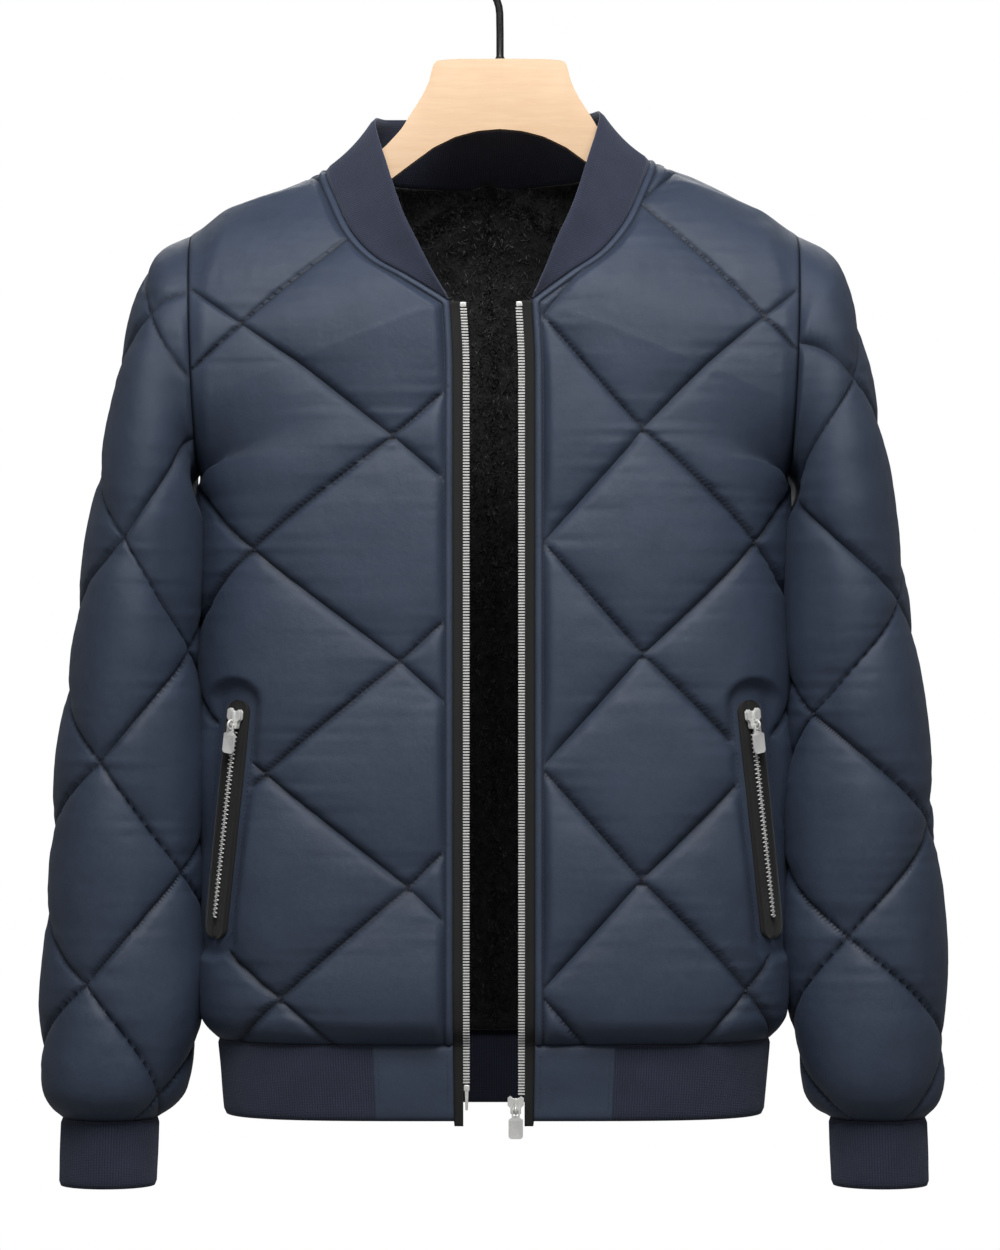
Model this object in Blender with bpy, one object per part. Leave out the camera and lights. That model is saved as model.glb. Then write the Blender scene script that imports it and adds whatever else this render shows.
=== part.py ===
"""Quilted bomber jacket hanging open on a wooden hanger.

Metres, +Z up.  The origin is the inside of the hook's crown, where a rail carries the hanger.
The jacket's front faces -Y.  "left" and "right" are the wearer's, so left lies at +X.
Tables are in millimetres, on one half of the garment, and MM turns them into metres.
"""
import math
from collections import namedtuple

import bmesh
import bpy
import numpy as np
from mathutils import Matrix, Vector

MM = 0.001

# ---------------------------------------------------------------- driving sizes, millimetres
SEAM_GAP = 0.35          # clearance between pieces at a seam
WALL = 2.6               # shell, thin wadding and backing where they are stitched down
PUFF = 6.5               # how far the wadding stands above a stitched line
PUFF_REACH = 0.10        # lattice distance over which a cell rises from its stitching
RIB_WALL = 3.0           # doubled rib knit of collar, cuffs and hem

HEM_SEAM_Z = -803.0      # shell meets the hem rib
HEM_BOTTOM_Z = -857.0    # lowest edge of the hem rib
ZIP_TOP_Z = -278.0       # top stop of the front zip
ZIP_EDGE_X = 29.0        # centre front to the shell's folded edge
BODY_SHIFT_X = -4.3      # the jacket hangs this far beside the hanger's middle
BODY_SHIFT_Y = -5.0      # and this far in front of it
NECK_SHIFT_X = -4.7      # the neck has slid this much further
NECK_TILT = 0.031        # rise per length across the neck, higher on the wearer's left

V_PIT = 0.62             # share of a panel's height at which the armhole starts
V_ZIP = 0.757            # share at which the front edge turns into the neckline
V_NAPE = 0.81            # share at which the back's middle meets the neckline
T_NECK_POINT = 0.542     # share of the neck seam, from its front end, at the shoulder seam
SEAM_LEAN = 0.35         # how far up the walls lean at the neck seam

# Rows of a panel from hem to shoulder, and its columns from the middle to the side.
PANEL_ROWS = (0.0, 0.018, 0.05, 0.11, 0.175, 0.24, 0.305, 0.37, 0.435, 0.50, 0.56, 0.60, V_PIT,
              0.65, 0.70, V_ZIP, V_NAPE, 0.86, 0.905, 0.94, 0.965, 0.985, 1.0)
FRONT_STEPS = (0.0, 0.05, 0.20, 0.36, 0.52, 0.67, 0.80, 0.91, 1.0)
BACK_STEPS = (0.0, 0.13, 0.26, 0.39, 0.52, 0.65, 0.78, 0.90, 1.0)

# Shoulder tip and armpit, the two ends of the armhole.
TIP = np.array((218.0, 4.0, -228.5))
PIT = np.array((212.0, 0.0, -397.0))
ARMHOLE_FRONT = 70.0     # how far the armhole bows forward
ARMHOLE_BACK = 74.0      # and backward

# The neck seam and the collar's free edge, from the front end (t 0) to the nape (t 1).
Neck = namedtuple("Neck", "t x y z edge_x edge_y edge_z")
NECK = (
    Neck(0.000, 29.0, -84.0, -278.0, 31.0, -85.5, -272.5),
    Neck(0.109, 57.0, -79.0, -260.0, 40.0, -84.0, -255.0),
    Neck(0.195, 78.0, -68.0, -246.5, 48.5, -79.0, -236.0),
    Neck(0.292, 95.0, -52.0, -227.0, 59.5, -68.0, -212.0),
    Neck(0.409, 107.0, -28.0, -202.0, 70.5, -46.0, -178.0),
    Neck(0.542, 115.4, 4.0, -177.5, 79.7, -8.0, -143.5),
    Neck(0.646, 103.0, 34.0, -180.5, 72.0, 24.0, -139.5),
    Neck(0.772, 70.0, 54.0, -185.5, 52.0, 43.0, -137.5),
    Neck(0.891, 34.0, 63.0, -188.5, 27.0, 53.0, -136.5),
    Neck(1.000, 0.0, 65.0, -189.5, 0.0, 56.0, -136.0),
)

SHOULDER_POINT = NECK[5]  # where the neck seam meets the shoulder seam

# The body's inner skin, from the hem seam (t 0) to the shoulder (t 1).
# side: half width; front, back: depth at the middle; turn: degrees that a section turns;
# flat: how long it stays flat before it turns.
Level = namedtuple("Level", "t side front back turn flat")
LEVELS = (
    Level(0.000, 195.5, -70.0, 72.0, 90.0, 1.70),
    Level(0.014, 201.0, -77.5, 78.0, 90.0, 1.70),
    Level(0.035, 203.6, -81.0, 81.0, 90.0, 1.70),
    Level(0.100, 204.0, -83.0, 84.0, 90.0, 1.70),
    Level(0.300, 203.6, -84.0, 88.0, 90.0, 1.65),
    Level(0.500, 203.2, -85.0, 91.0, 90.0, 1.60),
    Level(0.585, 204.2, -85.5, 92.0, 90.0, 1.55),
    Level(0.620, 212.0, -85.5, 92.0, 84.0, 1.50),
    Level(0.680, 212.0, -85.0, 91.0, 62.0, 1.30),
    Level(0.757, 212.0, -84.0, 84.0, 46.0, 1.15),
    Level(0.810, 212.0, -84.0, 65.0, 42.0, 1.10),
    Level(1.000, 212.0, -84.0, 65.0, 36.0, 1.00),
)

# The sleeve's inner skin, from the armhole (t 0) to the cuff seam (t 1): where the side away
# from the body and the side beside it lie, and how far the sleeve reaches forward and back.
Ring = namedtuple("Ring", "t out_x out_z in_x in_z fore aft")
RINGS = (
    Ring(0.000, 218.0, -228.5, 212.0, -397.0, 70.0, 74.0),
    Ring(0.040, 234.0, -241.0, 218.6, -404.0, 71.5, 75.0),
    Ring(0.090, 246.5, -263.0, 221.0, -417.0, 73.0, 76.0),
    Ring(0.160, 257.0, -300.0, 221.6, -437.0, 74.0, 77.0),
    Ring(0.240, 266.5, -347.0, 221.6, -463.0, 74.0, 77.0),
    Ring(0.330, 276.5, -400.0, 221.6, -495.0, 72.0, 75.0),
    Ring(0.430, 286.5, -456.0, 221.4, -534.0, 69.0, 72.0),
    Ring(0.540, 297.0, -527.0, 221.2, -583.0, 65.0, 68.0),
    Ring(0.650, 306.0, -601.0, 221.2, -640.0, 61.0, 64.0),
    Ring(0.760, 312.5, -677.0, 221.4, -702.0, 57.0, 60.0),
    Ring(0.860, 317.0, -748.0, 222.0, -762.0, 54.0, 56.0),
    Ring(0.930, 318.8, -800.0, 223.6, -806.0, 52.0, 53.0),
    Ring(0.965, 318.0, -832.0, 228.4, -834.0, 49.0, 50.0),
    Ring(0.985, 314.5, -850.0, 235.0, -850.0, 43.0, 44.0),
    Ring(1.000, 308.5, -861.0, 244.0, -861.0, 34.0, 35.0),
)

# Quilting: columns of crossings.  Each panel names where its columns run, at the top and at
# the bottom of the lattice, and at what height a crossing of column 0 lies.
HALF_PITCH = 79.3        # height between a crossing and the next column's crossing
CUT_NEAR = 0.03          # a corner this near a stitched line, in the lattice, counts as on it
LATTICE_TOP_Z = -300.0
LATTICE_BOTTOM_Z = -760.0
Columns = namedtuple("Columns", "first_z top bottom")
FRONT_COLUMNS = {
    -1: Columns(-294.7, (-22.0, 74.0, 184.0, 290.0), (-20.0, 58.0, 152.0, 246.0)),
    +1: Columns(-289.7, (36.0, 107.0, 196.0, 290.0), (32.0, 103.0, 182.0, 262.0)),
}
BACK_COLUMNS = Columns(-374.0, (-92.0, 0.0, 92.0, 184.0, 280.0), (-92.0, 0.0, 92.0, 184.0, 270.0))
SLEEVE_COLUMNS = {
    -1: Columns(-445.0, (74.0, 158.0, 248.0, 336.0), (67.0, 142.0, 236.0, 326.0)),
    +1: Columns(-490.0, (50.0, 176.0, 250.0, 320.0), (12.0, 106.0, 196.0, 284.0)),
}


SIDES = ((-1, "right"), (1, "left"))     # the wearer's right lies at -X

# A side pocket's zip runs from an upper to a lower end, given as x and z on a front.
POCKET_TOP = np.array((178.0, -562.0))
POCKET_END = np.array((195.5, -728.0))
POCKET_HALF_WIDTH = 8.2
POCKET_BED = 10.5                        # a front's faces are cut this far beside it
POCKET_CLEAR = (13.0, 27.0)              # the wadding is stitched flat, then free, beside it


# ---------------------------------------------------------------- curves through tables

def along(table, key, t):
    """Smooth value of one column of a table at t."""
    knots = np.array([row.t for row in table])
    values = np.array([getattr(row, key) for row in table])
    t = np.clip(np.asarray(t, float), knots[0], knots[-1])
    steps = np.diff(values) / np.diff(knots)
    slopes = np.concatenate((steps[:1], (steps[1:] + steps[:-1]) / 2, steps[-1:]))
    i = np.clip(np.searchsorted(knots, t, side="right") - 1, 0, len(knots) - 2)
    gap = knots[i + 1] - knots[i]
    f = (t - knots[i]) / gap
    return ((2 * f**3 - 3 * f**2 + 1) * values[i] + (f**3 - 2 * f**2 + f) * gap * slopes[i]
            + (3 * f**2 - 2 * f**3) * values[i + 1] + (f**3 - f**2) * gap * slopes[i + 1])


def ease(low, high, value):
    """0 below low, 1 above high, and smooth between."""
    f = np.clip((value - low) / (high - low), 0.0, 1.0)
    return f * f * (3 - 2 * f)


def hang(points):
    """Shift the cloth sideways as it hangs, with the neck slid and tilted."""
    points = np.array(points, float)
    x, z = points[..., 0].copy(), points[..., 2]
    near_neck = (1 - ease(120.0, 195.0, np.abs(x))) * ease(-330.0, -225.0, z)
    points[..., 0] = x + BODY_SHIFT_X + NECK_SHIFT_X * near_neck
    points[..., 1] += BODY_SHIFT_Y
    points[..., 2] = z + NECK_TILT * x * near_neck
    return points


# ---------------------------------------------------------------- the cloth's inner skin

def neck_share(v, facing):
    """Where a panel's row meets the neck seam, as a share of the seam."""
    if facing < 0:
        return T_NECK_POINT * (v - V_ZIP) / (1 - V_ZIP)
    return 1.0 - (1.0 - T_NECK_POINT) * (v - V_NAPE) / (1 - V_NAPE)


# The neck seam runs straight between the rows of the panels that it joins.
NECK_STATIONS = sorted({round(float(neck_share(v, -1)), 6) for v in PANEL_ROWS if v >= V_ZIP}
                       | {round(float(neck_share(v, 1)), 6) for v in PANEL_ROWS if v >= V_NAPE})


def between_stations(points, t):
    t = np.asarray(t, float)
    return np.stack([np.interp(t, NECK_STATIONS, points[:, i]) for i in range(3)], axis=-1)


def neck_curve(t, keys=("x", "y", "z")):
    return np.stack([along(NECK, key, t) for key in keys], axis=-1)


def neck_seam(t):
    return between_stations(neck_curve(np.array(NECK_STATIONS)), t)


def collar_edge(t):
    edge = neck_curve(np.array(NECK_STATIONS), ("edge_x", "edge_y", "edge_z"))
    return between_stations(edge, t)


def armhole(angle, facing):
    """Point of the armhole; angle 0 is the shoulder tip, pi the armpit; facing -1 is front."""
    reach = ARMHOLE_FRONT if facing < 0 else ARMHOLE_BACK
    middle = (TIP + PIT) / 2
    half = (TIP - PIT) / 2
    angle = np.asarray(angle, float)[..., None]
    bow = np.array((0.0, facing * reach, 0.0))
    return middle + half * np.cos(angle) + bow * np.sin(angle)


def inner_edge(v, facing):
    """The panel's edge at centre front or centre back, and on along the neckline."""
    v = np.asarray(v, float)
    if facing < 0:
        corner, depth, x, top = V_ZIP, "front", ZIP_EDGE_X, ZIP_TOP_Z
        t = T_NECK_POINT * (v - corner) / (1 - corner)
    else:
        corner, depth, x, top = V_NAPE, "back", 0.0, NECK[-1].z
        t = 1.0 - (1.0 - T_NECK_POINT) * (v - corner) / (1 - corner)
    z = HEM_SEAM_Z + (top - HEM_SEAM_Z) * v / corner
    straight = np.stack([np.full_like(z, x), along(LEVELS, depth, v), z], axis=-1)
    return np.where((v <= corner)[..., None], straight, neck_seam(t))


def outer_edge(v, facing):
    """The panel's edge at the side seam, and on along the armhole to the shoulder tip."""
    v = np.asarray(v, float)
    z = HEM_SEAM_Z + (PIT[2] - HEM_SEAM_Z) * v / V_PIT
    side = np.stack([along(LEVELS, "side", v), np.zeros_like(z), z], axis=-1)
    angle = math.pi * (1 - (v - V_PIT) / (1 - V_PIT))
    return np.where((v <= V_PIT)[..., None], side, armhole(angle, facing))


def panel_point(u, v, facing):
    """Inner skin of a front (facing -1) or half the back (+1); u 0 is the middle, 1 the side."""
    u, v = np.broadcast_arrays(np.asarray(u, float), np.asarray(v, float))
    start, end = inner_edge(v, facing), outer_edge(v, facing)
    turn = np.radians(along(LEVELS, "turn", v))
    across = np.sin(turn * u) / np.sin(turn)
    deep = ((1 - np.cos(turn * u)) / (1 - np.cos(turn))) ** along(LEVELS, "flat", v)
    share = np.stack([across, deep, across], axis=-1)
    return start + (end - start) * share


def sleeve_point(angle, t):
    """Inner skin of a sleeve; angle 0 is the side away from the body, pi/2 the front."""
    angle, t = np.broadcast_arrays(np.asarray(angle, float), np.asarray(t, float))
    c, s = np.cos(angle), np.sin(angle)
    out_x, in_x = along(RINGS, "out_x", t), along(RINGS, "in_x", t)
    out_z, in_z = along(RINGS, "out_z", t), along(RINGS, "in_z", t)
    rest_y = TIP[1] / 2 * (1 + c) * (1 - ease(0.0, 0.2, t))
    reach = np.where(s > 0, along(RINGS, "fore", t), along(RINGS, "aft", t))
    return np.stack([(out_x + in_x) / 2 + (out_x - in_x) / 2 * c, rest_y - reach * s,
                     (out_z + in_z) / 2 + (out_z - in_z) / 2 * c], axis=-1)


def unit(vectors):
    return vectors / np.maximum(np.linalg.norm(vectors, axis=-1, keepdims=True), 1e-9)


def skin_normal(place, a, b, outward, step=0.004):
    """Normal of a skin place(a, b), on the side of the outward hint."""
    along_a = place(np.clip(a + step, 0, None), b) - place(a - step, b)
    along_b = place(a, b + step) - place(a, b - step)
    normal = unit(np.cross(along_a, along_b))
    flip = np.sum(normal * outward, axis=-1, keepdims=True) < 0
    return np.where(flip, -normal, normal)


# ---------------------------------------------------------------- quilted walls

def lattice(across, z, columns):
    """Lattice coordinates of points: column number and row number, crossings at p + q even."""
    down = np.clip((LATTICE_TOP_Z - z) / (LATTICE_TOP_Z - LATTICE_BOTTOM_Z), -0.3, 1.3)
    top, bottom = np.array(columns.top), np.array(columns.bottom)
    spots = top[:, None] + (bottom - top)[:, None] * down.ravel()
    flat = across.ravel()
    p = np.zeros_like(flat)
    last = len(top) - 1
    for i in range(last):
        low = -np.inf if i == 0 else spots[i]
        inside = flat >= low
        step = spots[i + 1] - spots[i]
        p = np.where(inside, i + (flat - spots[i]) / step, p)
    return p.reshape(across.shape), (columns.first_z - z) / HALF_PITCH


def puff(p, q):
    """0 on a stitched line, 1 in the middle of a quilted cell."""
    height = 1.0
    for value in ((p + q) / 2, (p - q) / 2):
        off = np.abs(value - np.round(value))
        height = height * (1 - np.exp(-np.maximum(off - 0.012, 0.0) / PUFF_REACH))
    return height


def new_object(name, mesh, material, collection):
    item = bpy.data.objects.new(name, mesh)
    mesh.materials.append(material)
    collection.objects.link(item)
    return item


def cut_grid(us, vs, to_lattice, more_lines=()):
    """Grid in (u, v), cut along the stitched lines and more lines of two (u, v) points each.

    Returns u, v, p, q and triangles.
    """
    flat = bmesh.new()
    layer_u = flat.verts.layers.float.new("u")
    layer_v = flat.verts.layers.float.new("v")
    grid_u, grid_v = np.meshgrid(us, vs)
    grid_p, grid_q = to_lattice(grid_u, grid_v)
    rows = []
    for j in range(len(vs)):
        row = []
        for i in range(len(us)):
            vert = flat.verts.new((grid_p[j, i], grid_q[j, i], 0.0))
            vert[layer_u], vert[layer_v] = us[i], vs[j]
            row.append(vert)
        rows.append(row)
    for low, high in zip(rows, rows[1:]):
        for i in range(len(us) - 1):
            flat.faces.new((low[i], low[i + 1], high[i + 1], high[i]))
    for slope in (1.0, -1.0):
        reach = grid_p + slope * grid_q
        for line in range(math.ceil(reach.min() / 2) * 2, int(reach.max()) + 1, 2):
            bmesh.ops.bisect_plane(flat, geom=flat.verts[:] + flat.edges[:] + flat.faces[:],
                                   plane_co=(line, 0.0, 0.0), plane_no=(1.0, slope, 0.0),
                                   dist=CUT_NEAR)
    for (u0, v0), (u1, v1) in more_lines:
        p, q = to_lattice(np.array(((u0, u1),)), np.array(((v0, v1),)))
        square = (q[0, 1] - q[0, 0], p[0, 0] - p[0, 1], 0.0)
        bmesh.ops.bisect_plane(flat, geom=flat.verts[:] + flat.edges[:] + flat.faces[:],
                               plane_co=(p[0, 0], q[0, 0], 0.0), plane_no=square, dist=CUT_NEAR)
    bmesh.ops.triangulate(flat, faces=flat.faces[:])
    flat.verts.ensure_lookup_table()
    flat.verts.index_update()
    u = np.round([vert[layer_u] for vert in flat.verts], 6)
    v = np.round([vert[layer_v] for vert in flat.verts], 6)
    p = np.array([vert.co.x for vert in flat.verts])
    q = np.array([vert.co.y for vert in flat.verts])
    faces = [tuple(vert.index for vert in face.verts) for face in flat.faces]
    flat.free()
    return u, v, p, q, faces


WELD = 0.02              # points of a skin this near to each other are one, millimetres


def wall_mesh(name, inner, outer, faces, open_plane_x=None):
    """Closed wall between an inner and an outer skin that share their triangles."""
    made = bmesh.new()
    same = [int(np.argmax(np.linalg.norm(inner - point, axis=1) < WELD)) for point in inner]
    faces = [tuple(same[i] for i in face) for face in faces]
    low = {i: made.verts.new(inner[i] * MM) for i in set(same)}
    high = {i: made.verts.new(outer[i] * MM) for i in set(same)}
    edges = {}
    for face in faces:
        made.faces.new([high[i] for i in face])
        made.faces.new([low[i] for i in reversed(face)])
        for a, b in zip(face, face[1:] + face[:1]):
            edges[(a, b)] = True
    for a, b in edges:
        at_plane = open_plane_x is not None and abs(inner[a][0]) < 1e-6 and abs(inner[b][0]) < 1e-6
        if (b, a) not in edges and not at_plane:
            made.faces.new((high[b], high[a], low[a], low[b]))
    bmesh.ops.triangulate(made, faces=[face for face in made.faces if len(face.verts) > 3])
    bmesh.ops.remove_doubles(made, verts=made.verts[:], dist=WELD / 2 * MM)
    bmesh.ops.recalc_face_normals(made, faces=made.faces[:])
    mesh = bpy.data.meshes.new(name)
    made.to_mesh(mesh)
    made.free()
    return mesh


def mirrored(points, side):
    return points * np.array((side, 1.0, 1.0))


def beside_pocket(points):
    """Distance of points on a front from the pocket's line, seen from in front."""
    run = POCKET_END - POCKET_TOP
    flat = points[..., (0, 2)] - POCKET_TOP
    share = np.clip(flat @ run / (run @ run), 0.0, 1.0)
    return np.linalg.norm(flat - share[..., None] * run, axis=-1)


def on_front(x, z):
    """(u, v) of the point of a front's inner skin that lies at x and z."""
    u, v = 0.8, V_ZIP * (z - HEM_SEAM_Z) / (ZIP_TOP_Z - HEM_SEAM_Z)
    for _ in range(12):
        point = panel_point(u, v, -1)
        v += (z - point[2]) / (ZIP_TOP_Z - HEM_SEAM_Z) * V_ZIP
        us = np.linspace(0.0, 1.0, 201)
        u = float(np.interp(x, panel_point(us, v + 0 * us, -1)[:, 0], us))
    return u, v


def pocket_point(share, across):
    """(u, v) beside the pocket's line; share 0 is its upper end, across grows to the side."""
    run = POCKET_END - POCKET_TOP
    square = np.array((-run[1], run[0])) / np.linalg.norm(run)
    x, z = POCKET_TOP + run * share + square * across
    return on_front(x, z)


def edge_fade(u, v, from_middle):
    """0 on a panel's seams and 1 away from them."""
    fade = ease(0.0, 0.03, v) * ease(0.0, 0.03, 1 - v) * ease(0.0, 0.06, 1 - u)
    return fade * (ease(0.0, 0.06, u) if from_middle else 1.0)


def panel_seam_normal(u, v, facing, normal):
    """Where a panel meets another piece both walls lean the same way."""
    fixed = normal.copy()
    slope = unit(np.array((SHOULDER_POINT.z - TIP[2], 0.0, TIP[0] - SHOULDER_POINT.x)))
    fixed[v > 0.999] = slope
    at_side = u > 0.999
    droop = ease(PANEL_ROWS[11], V_PIT, v)
    sideways = unit(np.stack([1.0 - droop, 0 * v, -droop], axis=-1))
    below = at_side & (v <= V_PIT)
    fixed[below] = sideways[below]
    angle = math.pi * (1 - (v - V_PIT) / (1 - V_PIT))
    radial = np.stack([np.zeros_like(v), facing * np.sin(angle), np.cos(angle)], axis=-1)
    arm = at_side & (v > V_PIT - 1e-6)
    fixed[arm] = radial[arm]
    near = ease(0.70, 1.0, u) * ease(0.57, V_PIT, v) * (1 - ease(0.72, 0.85, v)) * (u < 0.999)
    toward = np.where((v < V_PIT)[:, None], sideways, radial)
    fixed = unit(fixed + (toward - fixed) * near[:, None])
    around = (u < 0.001) & (v > (V_ZIP if facing < 0 else V_NAPE) - 1e-6)
    t = neck_share(v, facing)
    fixed[around] = collar_normal(t)[around]
    fixed[v < 0.001, 2] = 0.0
    return unit(fixed)


def collar_outward(t):
    """Direction out of the neck, square to the collar."""
    step = 0.01
    t = np.asarray(t, float)
    run = neck_curve(t + step) - neck_curve(t - step)
    rise = neck_curve(t, ("edge_x", "edge_y", "edge_z")) - neck_curve(t)
    normal = unit(np.cross(run, rise))
    outward = neck_curve(t) * np.array((1.0, 1.0, 0.0)) + np.array((0.0, 0.0, 1.0))
    flip = np.sum(normal * outward, axis=-1, keepdims=True) < 0
    return np.where(flip, -normal, normal)


def collar_normal(t):
    """Direction in which the walls of collar and panel both lean where they are sewn."""
    lean = collar_outward(np.array(NECK_STATIONS)) + np.array((0.0, 0.0, SEAM_LEAN))
    return unit(between_stations(unit(lean), t))


def girth(v, facing):
    """Length of a section from the middle to the side, millimetres, for each v."""
    us = np.linspace(0.0, 1.0, 25)
    points = panel_point(us[None, :], np.asarray(v, float).ravel()[:, None], facing)
    steps = np.linalg.norm(np.diff(points, axis=1), axis=-1)
    return us, np.concatenate((np.zeros((steps.shape[0], 1)), np.cumsum(steps, axis=1)), axis=1)


def panel_across(u, v, facing):
    """Distance along the section from the wearer's middle line, millimetres."""
    flat_u, flat_v = np.asarray(u, float).ravel(), np.asarray(v, float).ravel()
    us, lengths = girth(flat_v, facing)
    run = np.array([np.interp(a, us, row) for a, row in zip(flat_u, lengths)])
    return (run + inner_edge(flat_v, facing)[:, 0]).reshape(np.shape(u))


def build_panel(name, side, facing, columns, us, material, collection):
    """One front, or the whole back from two halves that share the middle line."""
    def to_lattice(u, v):
        z = panel_point(u, v, facing)[..., 2]
        return lattice(panel_across(u, v, facing), z, columns)

    lines = ()
    if facing < 0:
        lines = [(pocket_point(0.0, off), pocket_point(1.0, off)) for off in (-POCKET_BED, POCKET_BED)]
    u, v, p, q, faces = cut_grid(us, PANEL_ROWS, to_lattice, lines)
    base = panel_point(u, v, facing)
    hint = np.stack([0.4 * u, np.full_like(u, facing), np.where(v > 0.9, 0.6, 0.0)], axis=-1)
    normal = skin_normal(lambda a, b: panel_point(a, b, facing), u, v, hint)
    normal = panel_seam_normal(u, v, facing, normal)
    if facing > 0:
        normal[(u < 0.001) & (v <= V_NAPE), 0] = 0.0
        normal = unit(normal)
    fade = edge_fade(u, v, facing < 0)
    if facing < 0:
        fade = fade * ease(*POCKET_CLEAR, beside_pocket(base))
    lift = WALL + PUFF * puff(p, q) * fade
    outer = base + normal * lift[:, None]
    at_side = (u > 0.999) & (v < V_PIT + 1e-6)
    for skin in (base, outer):
        skin[:, 2] += np.where(v < 0.001, SEAM_GAP / 2, 0.0)
        skin[:, 1] += np.where((v > 0.999) | at_side, facing * SEAM_GAP / 2, 0.0)
    halves = (side,) if facing < 0 else (-1, 1)
    inner_all = np.concatenate([mirrored(base, half) for half in halves])
    outer_all = np.concatenate([mirrored(outer, half) for half in halves])
    faces_all = [tuple(i + k * len(base) for i in face) for k in range(len(halves)) for face in faces]
    if facing > 0:
        first = len(faces)
        faces_all = [tuple(reversed(face)) for face in faces_all[:first]] + faces_all[first:]
    plane = 0.0 if facing > 0 else None
    mesh = wall_mesh(name, inner_all, outer_all, faces_all, open_plane_x=plane)
    hang_mesh(mesh)
    return new_object(name, mesh, material, collection)


def hang_mesh(mesh):
    """Move a mesh made in the garment's own frame to where the cloth hangs."""
    points = np.array([vert.co for vert in mesh.vertices]) / MM
    for vert, point in zip(mesh.vertices, hang(points)):
        vert.co = Vector(point * MM)


SLEEVE_RINGS = (0.0, 0.035, 0.08, 0.14, 0.21, 0.28, 0.35, 0.42, 0.49, 0.56, 0.63, 0.70, 0.77, 0.84,
                0.90, 0.945, 0.975, 1.0)
SLEEVE_SIDES = 14
SLEEVE_START = -60.0     # bearing of the seam along the sleeve's back, degrees


def build_sleeve(name, side, material, collection):
    columns = SLEEVE_COLUMNS[side]

    def to_lattice(angle, t):
        z = sleeve_point(np.radians(angle), t)[..., 2]
        down = np.clip((LATTICE_TOP_Z - z) / (LATTICE_TOP_Z - LATTICE_BOTTOM_Z), -0.3, 1.3)
        spots = [top + (low - top) * down for top, low in zip(columns.top, columns.bottom)]
        spots = [spots[2] - 360.0, spots[3] - 360.0] + spots + [spots[0] + 360.0]
        p = np.zeros_like(angle)
        for i in range(len(spots) - 1):
            p = np.where(angle >= spots[i], i - 2 + (angle - spots[i]) / (spots[i + 1] - spots[i]), p)
        return p, (columns.first_z - z) / HALF_PITCH

    angles = np.linspace(SLEEVE_START, SLEEVE_START + 360.0, SLEEVE_SIDES + 1)
    angle, t, p, q, faces = cut_grid(angles, SLEEVE_RINGS, to_lattice)
    bearing = np.radians(angle)
    base = sleeve_point(bearing, t)
    hint = np.stack([np.cos(bearing), -np.sin(bearing), np.where(t < 0.1, np.cos(bearing), 0.0)], axis=-1)
    normal = skin_normal(sleeve_point, bearing, t, hint)
    radial = np.stack([0 * t, -np.sin(bearing), np.cos(bearing)], axis=-1)
    normal = unit(radial + (normal - radial) * ease(0.0, SLEEVE_RINGS[1], t)[:, None])
    level = normal * np.array((1.0, 1.0, 0.0))
    normal = unit(np.where((t > 0.999)[:, None], level, normal))
    inside = ease(0.75, 0.95, -np.cos(bearing)) * ease(0.10, 0.0, t - 0.06)
    fade = ease(0.0, 0.035, t) * ease(0.0, 0.03, 1 - t) * (1 - inside)
    lift = WALL + PUFF * puff(p, q) * fade
    outer = base + normal * lift[:, None]
    for skin in (base, outer):
        skin[:, 0] += np.where(t < 0.001, SEAM_GAP, 0.0)
        skin[:, 2] += np.where(t > 0.999, SEAM_GAP / 2, 0.0)
    if side < 0:
        base, outer = mirrored(base, side), mirrored(outer, side)
    mesh = wall_mesh(name, base, outer, faces)
    hang_mesh(mesh)
    return new_object(name, mesh, material, collection)


# ---------------------------------------------------------------- rib knit, lining and zips

def band(name, inner, outer, material, collection):
    """Closed wall over a grid of points, rows by columns, with its two skins given."""
    rows, columns = inner.shape[:2]
    faces = []
    for j in range(rows - 1):
        for i in range(columns - 1):
            a = j * columns + i
            faces.append((a, a + 1, a + columns + 1, a + columns))
    mesh = wall_mesh(name, inner.reshape(-1, 3), outer.reshape(-1, 3), faces)
    hang_mesh(mesh)
    return new_object(name, mesh, material, collection)


COLLAR_RISES = (0.0, 0.3, 0.65, 1.0)
COLLAR_DIP = 3.0         # how far the collar's middle curves in towards the neck
COLLAR_GAP = 0.45        # clearance along the curved neck seam


def build_collar(material, collection):
    half = [(t, 1.0) for t in NECK_STATIONS]
    stations = [(t, -1.0) for t, _ in half] + [(t, 1.0) for t, _ in reversed(half[:-1])]
    t = np.array([station[0] for station in stations])
    side = np.array([station[1] for station in stations])
    seam, edge = neck_seam(t), collar_edge(t)
    sewn, free = collar_normal(t), unit(collar_outward(t))
    rise = unit(edge - seam)
    tangent = np.gradient(seam * np.stack([side, 1 + 0 * t, 1 + 0 * t], axis=-1), axis=0)
    tangent = tangent * np.stack([side, 1 + 0 * t, 1 + 0 * t], axis=-1)
    off_seam = unit(np.cross(sewn, tangent))
    off_seam = off_seam * np.sign(np.sum(off_seam * rise, axis=-1, keepdims=True))
    seam = seam + off_seam * COLLAR_GAP
    inner, outer = [], []
    for share in COLLAR_RISES:
        dip = COLLAR_DIP * 4 * share * (1 - share) * ease(0.0, 0.25, t)
        skin = seam + (edge - seam) * share - free * dip[:, None]
        normal = unit(sewn + (free - sewn) * share)
        inner.append(skin)
        outer.append(skin + normal * RIB_WALL)
    flip = np.stack([side, np.ones_like(side), np.ones_like(side)], axis=-1)
    return band("collar", np.array(inner) * flip, np.array(outer) * flip, material, collection)


HEM_DROPS = (0.0, 0.12, 0.5, 1.0)
HEM_TAPER = np.array((0.975, 0.95, 1.0))
BLOCK_EDGE_X = 86.0      # centre front to the seam between a hem block and the rib


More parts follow.
